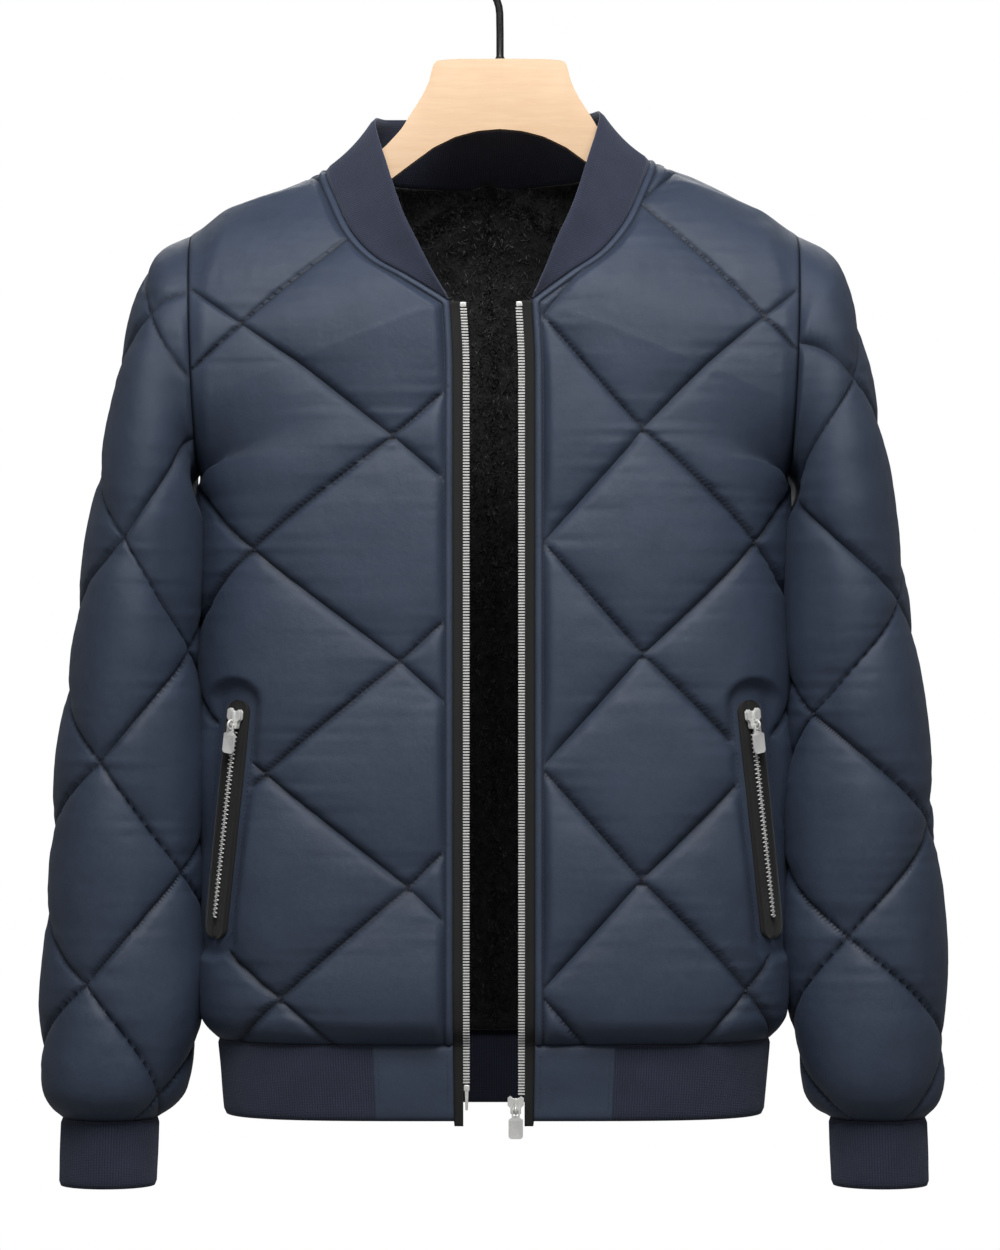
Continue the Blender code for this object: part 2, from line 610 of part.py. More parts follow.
def hem_section(u, facing, side):
    """Inner skin of the hem at its seam, in whole-garment coordinates."""
    return mirrored(panel_point(u, 0.0 * u, facing), side)


def hem_grid(top, material, name, collection):
    """Wall of the hem below a run of points, tapering a little to its free edge."""
    run = np.gradient(top, axis=0)
    normal = unit(np.cross(run, np.array((0.0, 0.0, 1.0))))
    outward = np.sum(normal * top * np.array((1.0, 1.0, 0.0)), axis=-1, keepdims=True) < 0
    normal = np.where(outward, -normal, normal)
    inner, outer = [], []
    for drop in HEM_DROPS:
        z = HEM_SEAM_Z - SEAM_GAP / 2 + (HEM_BOTTOM_Z - HEM_SEAM_Z) * drop
        level = top * (1 + (HEM_TAPER - 1) * drop)
        level[:, 2] = z
        inner.append(level)
        outer.append(level + normal * RIB_WALL)
    return band(name, np.array(inner), np.array(outer), material, collection)


def front_u_at(x):
    """Where a front's hem section reaches a distance from the middle line."""
    us = np.linspace(0.0, 1.0, 201)
    return float(np.interp(x, panel_point(us, 0 * us, -1)[:, 0], us))


def build_hem(materials, collection):
    block_end = front_u_at(BLOCK_EDGE_X)
    to_side = np.linspace(front_u_at(BLOCK_EDGE_X + SEAM_GAP), 1.0, 8)
    to_back = np.linspace(1.0, 0.0, 10)
    runs = []
    for side in (-1, 1):
        front = hem_section(to_side, -1, side)
        back = hem_section(to_back[1:], 1, side)
        half = np.concatenate((front, back))
        runs.append(half if side < 0 else half[::-1][1:])
    hem_grid(np.concatenate(runs), materials["rib"], "hem_rib", collection)
    for side, word in SIDES:
        block = hem_section(np.linspace(0.0, block_end, 5), -1, side)
        hem_grid(block, materials["shell"], f"hem_block_{word}", collection)


CUFF_BOTTOM = Ring(0, 310.0, -909.5, 246.0, -909.5, 31.0, 32.0)
CUFF_DROPS = (0.0, 0.5, 1.0)
CUFF_SIDES = 18


def build_cuff(word, side, material, collection):
    angles = np.linspace(0.0, 2 * math.pi, CUFF_SIDES + 1)
    top = sleeve_point(angles, np.ones_like(angles))
    c, s = np.cos(angles), np.sin(angles)
    end = CUFF_BOTTOM
    low = np.stack([(end.out_x + end.in_x) / 2 + (end.out_x - end.in_x) / 2 * c,
                    -np.where(s > 0, end.fore, end.aft) * s, end.out_z + 0 * s], axis=-1)
    normal = unit(np.stack([c * end.fore, -s * (end.out_x - end.in_x) / 2, 0 * s], axis=-1))
    top[:, 2] -= SEAM_GAP / 2
    inner = np.array([top + (low - top) * drop for drop in CUFF_DROPS])
    outer = inner + normal * (RIB_WALL - 0.2)
    return band(f"cuff_{word}", mirrored(inner, side), mirrored(outer, side), material, collection)


LINING_GAP = 2.6         # the lining hangs this far inside the back's inner skin
LINING_PILE = 4.0
LINING_ROWS = (0.0, 0.05, 0.11, 0.20, 0.30, 0.40, 0.50, 0.60, 0.68, 0.76, V_NAPE, 0.86, 0.91, 0.95, 0.98)
LINING_STEPS = (0.0, 0.13, 0.26, 0.39, 0.51, 0.63, 0.74)
LINING_TOP_EDGE = 0.03   # the lining stops this share of a row short of the neck seam


def build_lining(material, collection):
    """Black pile over the inside of the back, seen between the open fronts."""
    u, v = np.meshgrid(LINING_STEPS, LINING_ROWS)
    u = np.where((v > V_NAPE - 0.001) & (u < LINING_TOP_EDGE), LINING_TOP_EDGE * (v > V_NAPE), u)
    skin = panel_point(u, v - 0.006 * (v > V_NAPE - 0.001), 1)
    normal = skin_normal(lambda a, b: panel_point(a, b, 1), u, v, np.array((0.0, 1.0, 0.0)))
    normal[(u < 1e-6), 0] = 0.0
    normal = unit(normal)
    near = (skin - normal * LINING_GAP).reshape(-1, 3)
    far = (skin - normal * (LINING_GAP + LINING_PILE)).reshape(-1, 3)
    count, columns = len(near), len(LINING_STEPS)
    faces = [(a, a + 1, a + columns + 1, a + columns) for j in range(len(LINING_ROWS) - 1)
             for a in range(j * columns, (j + 1) * columns - 1)]
    other = [tuple(i + count for i in reversed(face)) for face in faces]
    inner = np.concatenate((far, mirrored(far, -1)))
    outer = np.concatenate((near, mirrored(near, -1)))
    mesh = wall_mesh("lining_back", inner, outer, faces + other, open_plane_x=0.0)
    hang_mesh(mesh)
    return new_object("lining_back", mesh, material, collection)


ZIP_ROWS_Z = [HEM_SEAM_Z + (ZIP_TOP_Z - HEM_SEAM_Z) * v / V_ZIP for v in PANEL_ROWS if v < V_ZIP]
TAPE = ((21.6, 32.5), 0.5, 1.4)      # from and to, beside the middle; start and end of its depth
TEETH = ((17.2, 21.3), -0.6, 2.2)
TAPE_ENDS_Z = (-279.0, -861.0)
TEETH_TOP_Z = -282.0
PIN_Z = (-831.5, -849.5)
SLIDER_TOP_Z = -839.4


def front_depth(z):
    """Depth of a front's inner skin at its zip edge, on down to the hem's free edge."""
    v = V_ZIP * (z - HEM_SEAM_Z) / (ZIP_TOP_Z - HEM_SEAM_Z)
    drop = np.clip((HEM_SEAM_Z - z) / (HEM_SEAM_Z - HEM_BOTTOM_Z), 0.0, 1.1)
    return along(LEVELS, "front", np.clip(v, 0.0, V_ZIP)) * (1 + (HEM_TAPER[1] - 1) * drop)


def zip_strip(name, side, shape, ends, material, collection):
    """Strip along a front's zip edge, from its upper to its lower end."""
    (near, far), start, end = shape
    z = np.array([ends[0]] + [row for row in reversed(ZIP_ROWS_Z) if ends[1] < row < ends[0]] + [ends[1]])
    depth = front_depth(z)
    front = np.array([[(x, y + start, level) for y, level in zip(depth, z)] for x in (near, far)])
    back = np.array([[(x, y + end, level) for y, level in zip(depth, z)] for x in (near, far)])
    return band(name, mirrored(back, side), mirrored(front, side), material, collection)


def build_front_zip(materials, collection):
    for side, word in SIDES:
        zip_strip(f"zip_tape_{word}", side, TAPE, TAPE_ENDS_Z, materials["tape"], collection)
        low = SLIDER_TOP_Z + SEAM_GAP if side > 0 else PIN_Z[0] + SEAM_GAP
        zip_strip(f"zip_teeth_{word}", side, TEETH, (TEETH_TOP_Z, low), materials["metal"], collection)
    zip_strip("zip_pin", -1, TEETH, PIN_Z, materials["metal"], collection)


# ---------------------------------------------------------------- pockets, sliders and pulls

POCKET_TAPE_LIFT = (0.8, 1.8)      # above the shell's flat outer skin
POCKET_TEETH_LIFT = (2.15, 3.5)
POCKET_TEETH = (0.125, 0.915)      # along the pocket's line
POCKET_SLIDER_AT = 0.065


def pocket_strip(name, side, ends, half_widths, lift, material, collection):
    """Strip that lies on a front along the pocket's line."""
    shares = np.linspace(*ends, len(half_widths))
    skins = []
    for height in lift:
        rows = []
        for share, half_width in zip(shares, half_widths):
            spots = [pocket_point(share, half_width * across) for across in (-1.0, 0.0, 1.0)]
            u, v = np.array(spots).T
            base = panel_point(u, v, -1)
            normal = skin_normal(lambda a, b: panel_point(a, b, -1), u, v, np.array((0.4, -1.0, 0.0)))
            rows.append(base + normal * (WALL + height))
        skins.append(mirrored(np.array(rows), side))
    return band(name, skins[0], skins[1], material, collection)


def frame_on_front(share, lift, side):
    """Place, across, up and out of a spot on the pocket's line, in metres and hung."""
    def spot(at, across):
        u, v = pocket_point(at, across)
        normal = skin_normal(lambda a, b: panel_point(a, b, -1), np.array((u,)), np.array((v,)),
                             np.array((0.4, -1.0, 0.0)))
        return hang(mirrored(panel_point(u, v, -1) + normal[0] * (WALL + lift), side))

    here = spot(share, 0.0)
    up = Vector(spot(share - 0.03, 0.0) - spot(share + 0.03, 0.0)).normalized()
    across = Vector(spot(share, 3.0) - spot(share, -3.0)).normalized() * side
    out = across.cross(up).normalized()
    across = up.cross(out)
    return Vector(here * MM), across, up, out


Zipper = namedtuple("Zipper", "width height thick eye_drop tab_width tab_length")
FRONT_ZIPPER = Zipper(11.5, 12.5, 5.4, 3.2, 10.2, 20.5)
POCKET_ZIPPER = Zipper(12.6, 14.0, 3.4, 4.4, 10.4, 20.5)
BAIL_RADIUS = 3.1        # from the pull's axis to the middle of the bail
BAIL_WIRE = 0.8
BAIL_STAND = 1.5         # the pull's axis stands this far out of the slider
PULL_THICK = 1.4
EYE_HALF_WIDTH = 1.5
EYE_LENGTH = 4.6


def place_matrix(place, across, up, out):
    matrix = Matrix((across, up, out)).transposed().to_4x4()
    matrix.translation = place
    return matrix


def build_slider(name, matrix, zipper, material, collection, cutters):
    """Slider body with the bail that holds its pull, drawn flat with +Z out of the cloth."""
    bpy.ops.mesh.primitive_torus_add(major_radius=BAIL_RADIUS * MM, minor_radius=BAIL_WIRE * MM,
                                     major_segments=20, minor_segments=8)
    bail = bpy.context.object
    bail.name = f"{name}_bail"
    bail.rotation_euler = (0.0, math.pi / 2, 0.0)
    bpy.ops.object.transform_apply(location=False, rotation=True, scale=False)
    bail.data.transform(matrix @ shift(0.0, -zipper.eye_drop, zipper.thick + BAIL_STAND))
    for other in list(bail.users_collection):
        other.objects.unlink(bail)
    cutters.objects.link(bail)
    bail.hide_render = True
    bail.display_type = "WIRE"

    made = bmesh.new()
    bmesh.ops.create_cube(made, size=1.0)
    for vert in made.verts:
        narrow = 0.72 if vert.co.y < 0 else 1.0
        vert.co.x *= zipper.width * narrow * MM
        vert.co.y *= zipper.height * MM
        vert.co.z = (vert.co.z + 0.5) * zipper.thick * MM
    bmesh.ops.bevel(made, geom=made.edges[:], offset=0.9 * MM, segments=2, affect="EDGES", profile=0.5)
    mesh = bpy.data.meshes.new(name)
    made.to_mesh(mesh)
    made.free()
    mesh.transform(matrix)
    body = new_object(name, mesh, material, collection)
    join = body.modifiers.new("bail", "BOOLEAN")
    join.operation = "UNION"
    join.solver = "EXACT"
    join.object = bail
    return body


def shift(x, y, z):
    return Matrix.Translation(Vector((x, y, z)) * MM)


def rounded(half_width, bottom, corner, steps=4):
    """Outline of a tab whose lower corners are rounded, anticlockwise from its lower left."""
    points = []
    for middle, start in ((-half_width + corner, math.pi), (half_width - corner, 1.5 * math.pi)):
        for i in range(steps + 1):
            angle = start + i * math.pi / 2 / steps
            points.append((middle + corner * math.cos(angle), bottom + corner + corner * math.sin(angle)))
    return points


def build_pull(name, matrix, zipper, material, collection):
    """Flat pull tab round the bail; its own origin is on the hinge axis."""
    outline = bpy.data.curves.new(name, "CURVE")
    outline.dimensions = "2D"
    outline.fill_mode = "BOTH"
    outline.extrude = PULL_THICK / 2 * MM
    neck = EYE_HALF_WIDTH + 1.3
    bar = 0.75
    half = zipper.tab_width / 2
    body = rounded(half, -zipper.tab_length, 2.4)
    body += [(half, -EYE_LENGTH - 3.2), (neck, -EYE_LENGTH + 0.6), (neck, 0.2), (neck - 0.6, bar),
             (0.6 - neck, bar), (-neck, 0.2), (-neck, -EYE_LENGTH + 0.6), (-half, -EYE_LENGTH - 3.2)]
    eye = [(-EYE_HALF_WIDTH, -bar), (EYE_HALF_WIDTH, -bar), (EYE_HALF_WIDTH, -EYE_LENGTH),
           (-EYE_HALF_WIDTH, -EYE_LENGTH)]
    for points in (body, eye):
        spline = outline.splines.new("POLY")
        spline.points.add(len(points) - 1)
        for point, (x, y) in zip(spline.points, points):
            point.co = (x * MM, y * MM, 0.0, 1.0)
        spline.use_cyclic_u = True
    tab = bpy.data.objects.new(name, outline)
    outline.materials.append(material)
    collection.objects.link(tab)
    tab.matrix_world = matrix @ shift(0.0, -zipper.eye_drop, zipper.thick + BAIL_STAND)
    return tab


FRONT_SLIDER = (15.4, -845.6)      # x and z of the front slider's middle
FRONT_SLIDER_BACK = 1.8            # its back plate lies this far behind the shell's inner skin


def build_pockets(materials, collection, cutters):
    ends = (0.5, 0.86, 1.0, 1.0, 1.0, 1.0, 1.0, 0.9, 0.6)
    for side, word in SIDES:
        widths = [POCKET_HALF_WIDTH * share for share in ends]
        pocket_strip(f"pocket_tape_{word}", side, (-0.01, 1.01), widths, POCKET_TAPE_LIFT,
                     materials["tape"], collection)
        pocket_strip(f"pocket_teeth_{word}", side, POCKET_TEETH, (2.1,) * 7, POCKET_TEETH_LIFT,
                     materials["metal"], collection)
        matrix = place_matrix(*frame_on_front(POCKET_SLIDER_AT, POCKET_TAPE_LIFT[1] + SEAM_GAP, side))
        build_slider(f"pocket_slider_{word}", matrix, POCKET_ZIPPER, materials["metal"], collection,
                     cutters)
        build_pull(f"pocket_pull_{word}", matrix, POCKET_ZIPPER, materials["metal"], collection)


def build_front_slider(materials, collection, cutters):
    x, z = FRONT_SLIDER
    place = hang(np.array((x, float(front_depth(z)) + FRONT_SLIDER_BACK, z)))
    matrix = place_matrix(Vector(place * MM), Vector((1, 0, 0)), Vector((0, 0, 1)), Vector((0, -1, 0)))
    build_slider("zip_slider", matrix, FRONT_ZIPPER, materials["metal"], collection, cutters)
    build_pull("zip_pull", matrix, FRONT_ZIPPER, materials["metal"], collection)


# ---------------------------------------------------------------- hanger and hook

# Upper and lower edge of the hanger's neck, x and z from its middle outwards.
HANGER_NECK_TOP = ((46.0, -101.0), (48.6, -103.5), (50.6, -114.5), (57.0, -128.0), (64.0, -138.5),
                   (71.0, -150.0), (83.0, -163.0), (98.0, -173.5))
HANGER_ARCH = ((0.0, -149.8), (16.0, -151.2), (32.0, -155.4), (48.0, -163.2), (66.0, -176.5),
               (84.0, -190.0))
HANGER_DROP = 26.0       # depth of the arms below the shoulder seam
HANGER_THICK = 14.0
HANGER_ROUND = 4.5
HANGER_CLEAR = 1.7       # the cloth's inner skin to the arm's upper edge
HANGER_TIP_X = 205.0

HOOK_WIRE = 2.7          # radius
HOOK_INSIDE = 20.0
HOOK_FOOT_Z = -100.6


def arm_top(x, side):
    """Height of the shoulder seam's inner skin above x, after hanging."""
    share = np.linspace(0.0, 1.0, 41)
    seam = hang(mirrored(panel_point(share, np.ones_like(share), -1), side))
    order = np.argsort(seam[:, 0] * side)
    return float(np.interp(x, (seam[:, 0] * side)[order], seam[order, 2]))


def hanger_half(side):
    """Outline from the middle top, out along the arm and back below."""
    top = [point for point in HANGER_NECK_TOP]
    for x in (122.0, 140.0, 160.0, 182.0, HANGER_TIP_X):
        top.append((x, arm_top(x, side) - HANGER_CLEAR))
    tip = top[-1]
    low = [(HANGER_TIP_X + 4.0, tip[1] - 5.0), (HANGER_TIP_X + 3.0, tip[1] - 14.0),
           (HANGER_TIP_X - 5.0, tip[1] - 18.0)]
    for x in (180.0, 150.0, 120.0):
        low.append((x, arm_top(x, side) - HANGER_CLEAR - HANGER_DROP))
    return top + low + [point for point in reversed(HANGER_ARCH)]


def build_hanger(material, collection):
    outline = bpy.data.curves.new("hanger", "CURVE")
    outline.dimensions = "2D"
    outline.fill_mode = "BOTH"
    outline.bevel_depth = HANGER_ROUND * MM
    outline.bevel_resolution = 1
    outline.offset = -HANGER_ROUND * MM
    outline.extrude = (HANGER_THICK / 2 - HANGER_ROUND) * MM
    left = hanger_half(1)
    right = [(-x, z) for x, z in reversed(hanger_half(-1))]
    points = left + right[1:]
    spline = outline.splines.new("POLY")
    spline.points.add(len(points) - 1)
    for point, (x, z) in zip(spline.points, points):
        point.co = (x * MM, z * MM, 0.0, 1.0)
    spline.use_cyclic_u = True
    item = bpy.data.objects.new("hanger", outline)
    outline.materials.append(material)
    collection.objects.link(item)
    item.rotation_euler = (math.pi / 2, 0.0, 0.0)
    return item


def build_hook(material, collection):
    """Wire hook: a shank that leans into a loop, open on its lower side."""
    radius = HOOK_INSIDE + HOOK_WIRE
    middle_z = -HOOK_INSIDE
    points = [(0.0, HOOK_FOOT_Z, 1.5), (0.0, HOOK_FOOT_Z + 2.2, 1.35), (0.0, HOOK_FOOT_Z + 3.6, 1.0),
              (0.0, -80.0, 1.0), (-0.2, -66.0, 1.0), (-2.0, -57.0, 1.0), (-6.5, -48.5, 1.0)]
    for degrees in range(232, -21, -18):
        angle = math.radians(degrees)
        points.append((radius * math.cos(angle), middle_z + radius * math.sin(angle), 1.0))
    wire = bpy.data.curves.new("hook", "CURVE")
    wire.dimensions = "3D"
    wire.bevel_depth = HOOK_WIRE * MM
    wire.bevel_resolution = 2
    wire.use_fill_caps = True
    spline = wire.splines.new("POLY")
    spline.points.add(len(points) - 1)
    for point, (x, z, thick) in zip(spline.points, points):
        point.co = (x * MM, 0.0, z * MM, 1.0)
        point.radius = thick
    item = bpy.data.objects.new("hook", wire)
    wire.materials.append(material)
    collection.objects.link(item)
    return item


# ---------------------------------------------------------------- the whole part

Finish = namedtuple("Finish", "colour roughness metallic")
FINISHES = {
    "shell": Finish((0.055, 0.075, 0.115), 0.55, 0.0),
    "rib": Finish((0.040, 0.045, 0.080), 0.85, 0.0),
    "pile": Finish((0.008, 0.008, 0.008), 0.95, 0.0),
    "tape": Finish((0.020, 0.020, 0.019), 0.80, 0.0),
    "metal": Finish((0.70, 0.70, 0.68), 0.30, 1.0),
    "wood": Finish((0.85, 0.62, 0.40), 0.45, 0.0),
    "wire": Finish((0.015, 0.015, 0.016), 0.35, 0.0),
}


def make_material(name, finish):
    material = bpy.data.materials.new(name)
    material.use_nodes = True
    shader = material.node_tree.nodes["Principled BSDF"]
    shader.inputs["Base Color"].default_value = (*finish.colour, 1.0)
    shader.inputs["Roughness"].default_value = finish.roughness
    shader.inputs["Metallic"].default_value = finish.metallic
    return material


def new_collection(name):
    made = bpy.data.collections.new(name)
    bpy.context.scene.collection.children.link(made)
    return made


def build():
    for item in list(bpy.data.objects):
        bpy.data.objects.remove(item)
    jacket = new_collection("bomber_jacket")
    cutters = new_collection("cutters")
    materials = {name: make_material(name, finish) for name, finish in FINISHES.items()}
    for side, word in SIDES:
        build_panel(f"front_{word}", side, -1, FRONT_COLUMNS[side], FRONT_STEPS, materials["shell"], jacket)
        build_sleeve(f"sleeve_{word}", side, materials["shell"], jacket)
        build_cuff(word, side, materials["rib"], jacket)
    build_panel("back", 1, 1, BACK_COLUMNS, BACK_STEPS, materials["shell"], jacket)
    build_collar(materials["rib"], jacket)
    build_hem(materials, jacket)
    build_lining(materials["pile"], jacket)
    build_front_zip(materials, jacket)
    build_front_slider(materials, jacket, cutters)
    build_pockets(materials, jacket, cutters)
    build_hanger(materials["wood"], jacket)
    build_hook(materials["wire"], jacket)


build()
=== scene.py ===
"""Looks of a quilted bomber jacket that hangs open on a wooden hanger.

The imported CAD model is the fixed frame: metres, +Z up, the jacket's front faces -Y, and the
origin is the inside of the hook's crown.  The garment's own sizes are in millimetres, as in the
part's source, and MM turns them into metres.  "left" and "right" are the wearer's.
"""
import logging
import math
import sys
from dataclasses import dataclass
from enum import Enum
from typing import Callable, Optional, Sequence

import bmesh
import bpy
import numpy as np
from mathutils import Matrix, Vector

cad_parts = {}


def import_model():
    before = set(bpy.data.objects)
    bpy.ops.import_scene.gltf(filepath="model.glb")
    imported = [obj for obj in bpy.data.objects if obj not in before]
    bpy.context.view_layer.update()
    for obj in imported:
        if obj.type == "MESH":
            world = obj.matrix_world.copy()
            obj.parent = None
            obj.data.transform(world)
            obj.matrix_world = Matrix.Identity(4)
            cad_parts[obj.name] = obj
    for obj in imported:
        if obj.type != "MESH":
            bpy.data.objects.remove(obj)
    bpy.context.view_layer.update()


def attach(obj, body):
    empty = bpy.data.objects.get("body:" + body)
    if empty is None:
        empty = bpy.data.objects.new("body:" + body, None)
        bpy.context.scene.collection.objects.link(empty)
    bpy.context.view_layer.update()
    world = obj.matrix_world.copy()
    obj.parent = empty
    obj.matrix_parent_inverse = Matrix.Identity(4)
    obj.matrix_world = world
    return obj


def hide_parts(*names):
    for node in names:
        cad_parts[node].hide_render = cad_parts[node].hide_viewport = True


LOG = logging.getLogger("bomber_jacket")
Array = np.ndarray

MM = 0.001
SEAM_GAP = 0.35          # clearance between pieces at a seam
WALL = 2.6               # shell, thin wadding and backing where they are stitched down
RIB_WALL = 3.0           # doubled rib knit
HEM_SEAM_Z = -803.0      # shell meets the hem rib
HEM_BOTTOM_Z = -857.0    # lowest edge of the hem rib
ZIP_TOP_Z = -278.0       # top stop of the front zip
ZIP_EDGE_X = 29.0        # centre front to the shell's folded edge
V_PIT = 0.62             # share of a panel's height at which the armhole starts
V_ZIP = 0.757            # share at which the front edge turns into the neckline
V_NAPE = 0.81            # share at which the back's middle meets the neckline
T_NECK_POINT = 0.542     # share of the neck seam, from its front end, at the shoulder seam
SEAM_LEAN = 0.35         # how far up the walls lean at the neck seam
TIP = np.array((218.0, 4.0, -228.5))     # shoulder tip
PIT = np.array((212.0, 0.0, -397.0))     # armpit


class Side(Enum):
    """The wearer's side, with the sign of X on which it lies."""

    RIGHT = -1
    LEFT = 1

    @property
    def word(self) -> str:
        """The side's word in the names of pieces."""
        return self.name.lower()


class Facing(Enum):
    """Front or back of the body, with the sign of Y that it faces."""

    FRONT = -1
    BACK = 1


# ---------------------------------------------------------------- small mathematics

def ease(low: float, high: float, value: Array) -> Array:
    """Smooth step.

    Args:
        low: where the step starts.
        high: where it ends; it may be the lower number, for a step down.
        value: where it is wanted.

    Returns:
        0 before the step, 1 after it, and smooth between.
    """
    f = np.clip((value - low) / (high - low), 0.0, 1.0)
    return f * f * (3 - 2 * f)


def unit(vectors: Array) -> Array:
    """Vectors scaled to a length of one."""
    return vectors / np.maximum(np.linalg.norm(vectors, axis=-1, keepdims=True), 1e-9)


def mirrored(points: Array, sign: float) -> Array:
    """Points with X multiplied by a side's sign."""
    return points * np.array((sign, 1.0, 1.0))


def along(table: Sequence, key: str, t: Array) -> Array:
    """Smooth value of one column of a table.

    Args:
        table: rows with a field t and the wanted column, in rising order of t.
        key: the column's name.
        t: where the value is wanted.

    Returns:
        The column's value at each t.
    """
    knots = np.array([row.t for row in table])
    values = np.array([getattr(row, key) for row in table])
    t = np.clip(np.asarray(t, float), knots[0], knots[-1])
    steps = np.diff(values) / np.diff(knots)
    slopes = np.concatenate((steps[:1], (steps[1:] + steps[:-1]) / 2, steps[-1:]))
    i = np.clip(np.searchsorted(knots, t, side="right") - 1, 0, len(knots) - 2)
    gap = knots[i + 1] - knots[i]
    f = (t - knots[i]) / gap
    return ((2 * f**3 - 3 * f**2 + 1) * values[i] + (f**3 - 2 * f**2 + f) * gap * slopes[i]
            + (3 * f**2 - 2 * f**3) * values[i + 1] + (f**3 - f**2) * gap * slopes[i + 1])


class Noise:
    """Smooth repeatable noise over space."""

    def __init__(self, seed: int) -> None:
        """Fix the noise's pattern by a seed."""
        self.seed = seed

    def _corner(self, cell: Array) -> Array:
        """Random value from -1 to 1 for each whole-numbered cell of space."""
        mixed = (cell[..., 0] * 374761393 + cell[..., 1] * 668265263
                 + cell[..., 2] * 2147483647 + self.seed * 144269504) & 0xFFFFFFFF
        mixed = ((mixed ^ (mixed >> 13)) * 1274126177) & 0xFFFFFFFF
        return ((mixed ^ (mixed >> 16)) & 0xFFFF) / 32767.5 - 1.0

    def at(self, points: Array, size: float) -> Array:
        """Noise at points.

        Args:
            points: (..., 3) places.
            size: width of the noise's features, in the same unit.

        Returns:
            Values from -1 to 1.
        """
        place = points / size
        cell = np.floor(place).astype(np.int64)
        f = place - cell
        f = f * f * f * (f * (f * 6 - 15) + 10)
        total = np.zeros(place.shape[:-1])
        for corner in np.ndindex(2, 2, 2):
            weight = np.prod(np.where(np.array(corner) == 1, f, 1 - f), axis=-1)
            total += weight * self._corner(cell + np.array(corner))
        return total


# ---------------------------------------------------------------- form of the garment

@dataclass(frozen=True)
class Neck:
    """One station of the neck seam and of the collar's free edge."""

    t: float
    x: float
    y: float
    z: float
    edge_x: float
    edge_y: float
    edge_z: float


@dataclass(frozen=True)
class Level:
    """Section of the body's inner skin: half width, depths at the middle, and how it turns."""

    t: float
    side: float
    front: float
    back: float
    turn: float
    flat: float


@dataclass(frozen=True)
class Ring:
    """Section of a sleeve's inner skin: its far and near sides, and its reach in Y."""

    t: float
    out_x: float
    out_z: float
    in_x: float
    in_z: float
    fore: float
    aft: float


NECK = (
    Neck(0.000, 29.0, -84.0, -278.0, 31.0, -85.5, -272.5),
    Neck(0.109, 57.0, -79.0, -260.0, 40.0, -84.0, -255.0),
    Neck(0.195, 78.0, -68.0, -246.5, 48.5, -79.0, -236.0),
    Neck(0.292, 95.0, -52.0, -227.0, 59.5, -68.0, -212.0),
    Neck(0.409, 107.0, -28.0, -202.0, 70.5, -46.0, -178.0),
    Neck(0.542, 115.4, 4.0, -177.5, 79.7, -8.0, -143.5),
    Neck(0.646, 103.0, 34.0, -180.5, 72.0, 24.0, -139.5),
    Neck(0.772, 70.0, 54.0, -185.5, 52.0, 43.0, -137.5),
    Neck(0.891, 34.0, 63.0, -188.5, 27.0, 53.0, -136.5),
    Neck(1.000, 0.0, 65.0, -189.5, 0.0, 56.0, -136.0),
)
SHOULDER_POINT = NECK[5]         # where the neck seam meets the shoulder seam

LEVELS = (
    Level(0.000, 195.5, -70.0, 72.0, 90.0, 1.70),
    Level(0.014, 201.0, -77.5, 78.0, 90.0, 1.70),
    Level(0.035, 203.6, -81.0, 81.0, 90.0, 1.70),
    Level(0.100, 204.0, -83.0, 84.0, 90.0, 1.70),
    Level(0.300, 203.6, -84.0, 88.0, 90.0, 1.65),
    Level(0.500, 203.2, -85.0, 91.0, 90.0, 1.60),
    Level(0.585, 204.2, -85.5, 92.0, 90.0, 1.55),
    Level(0.620, 212.0, -85.5, 92.0, 84.0, 1.50),
    Level(0.680, 212.0, -85.0, 91.0, 62.0, 1.30),
    Level(0.757, 212.0, -84.0, 84.0, 46.0, 1.15),
    Level(0.810, 212.0, -84.0, 65.0, 42.0, 1.10),
    Level(1.000, 212.0, -84.0, 65.0, 36.0, 1.00),
)

RINGS = (
    Ring(0.000, 218.0, -228.5, 212.0, -397.0, 70.0, 74.0),
    Ring(0.040, 234.0, -241.0, 218.6, -404.0, 71.5, 75.0),
    Ring(0.090, 246.5, -263.0, 221.0, -417.0, 73.0, 76.0),
    Ring(0.160, 257.0, -300.0, 221.6, -437.0, 74.0, 77.0),
    Ring(0.240, 266.5, -347.0, 221.6, -463.0, 74.0, 77.0),
    Ring(0.330, 276.5, -400.0, 221.6, -495.0, 72.0, 75.0),
    Ring(0.430, 286.5, -456.0, 221.4, -534.0, 69.0, 72.0),
    Ring(0.540, 297.0, -527.0, 221.2, -583.0, 65.0, 68.0),
    Ring(0.650, 306.0, -601.0, 221.2, -640.0, 61.0, 64.0),
    Ring(0.760, 312.5, -677.0, 221.4, -702.0, 57.0, 60.0),
    Ring(0.860, 317.0, -748.0, 222.0, -762.0, 54.0, 56.0),
    Ring(0.930, 318.8, -800.0, 223.6, -806.0, 52.0, 53.0),
    Ring(0.965, 318.0, -832.0, 228.4, -834.0, 49.0, 50.0),
    Ring(0.985, 314.5, -850.0, 235.0, -850.0, 43.0, 44.0),
    Ring(1.000, 308.5, -861.0, 244.0, -861.0, 34.0, 35.0),
)
CUFF_BOTTOM = Ring(0.0, 310.0, -909.5, 246.0, -909.5, 31.0, 32.0)


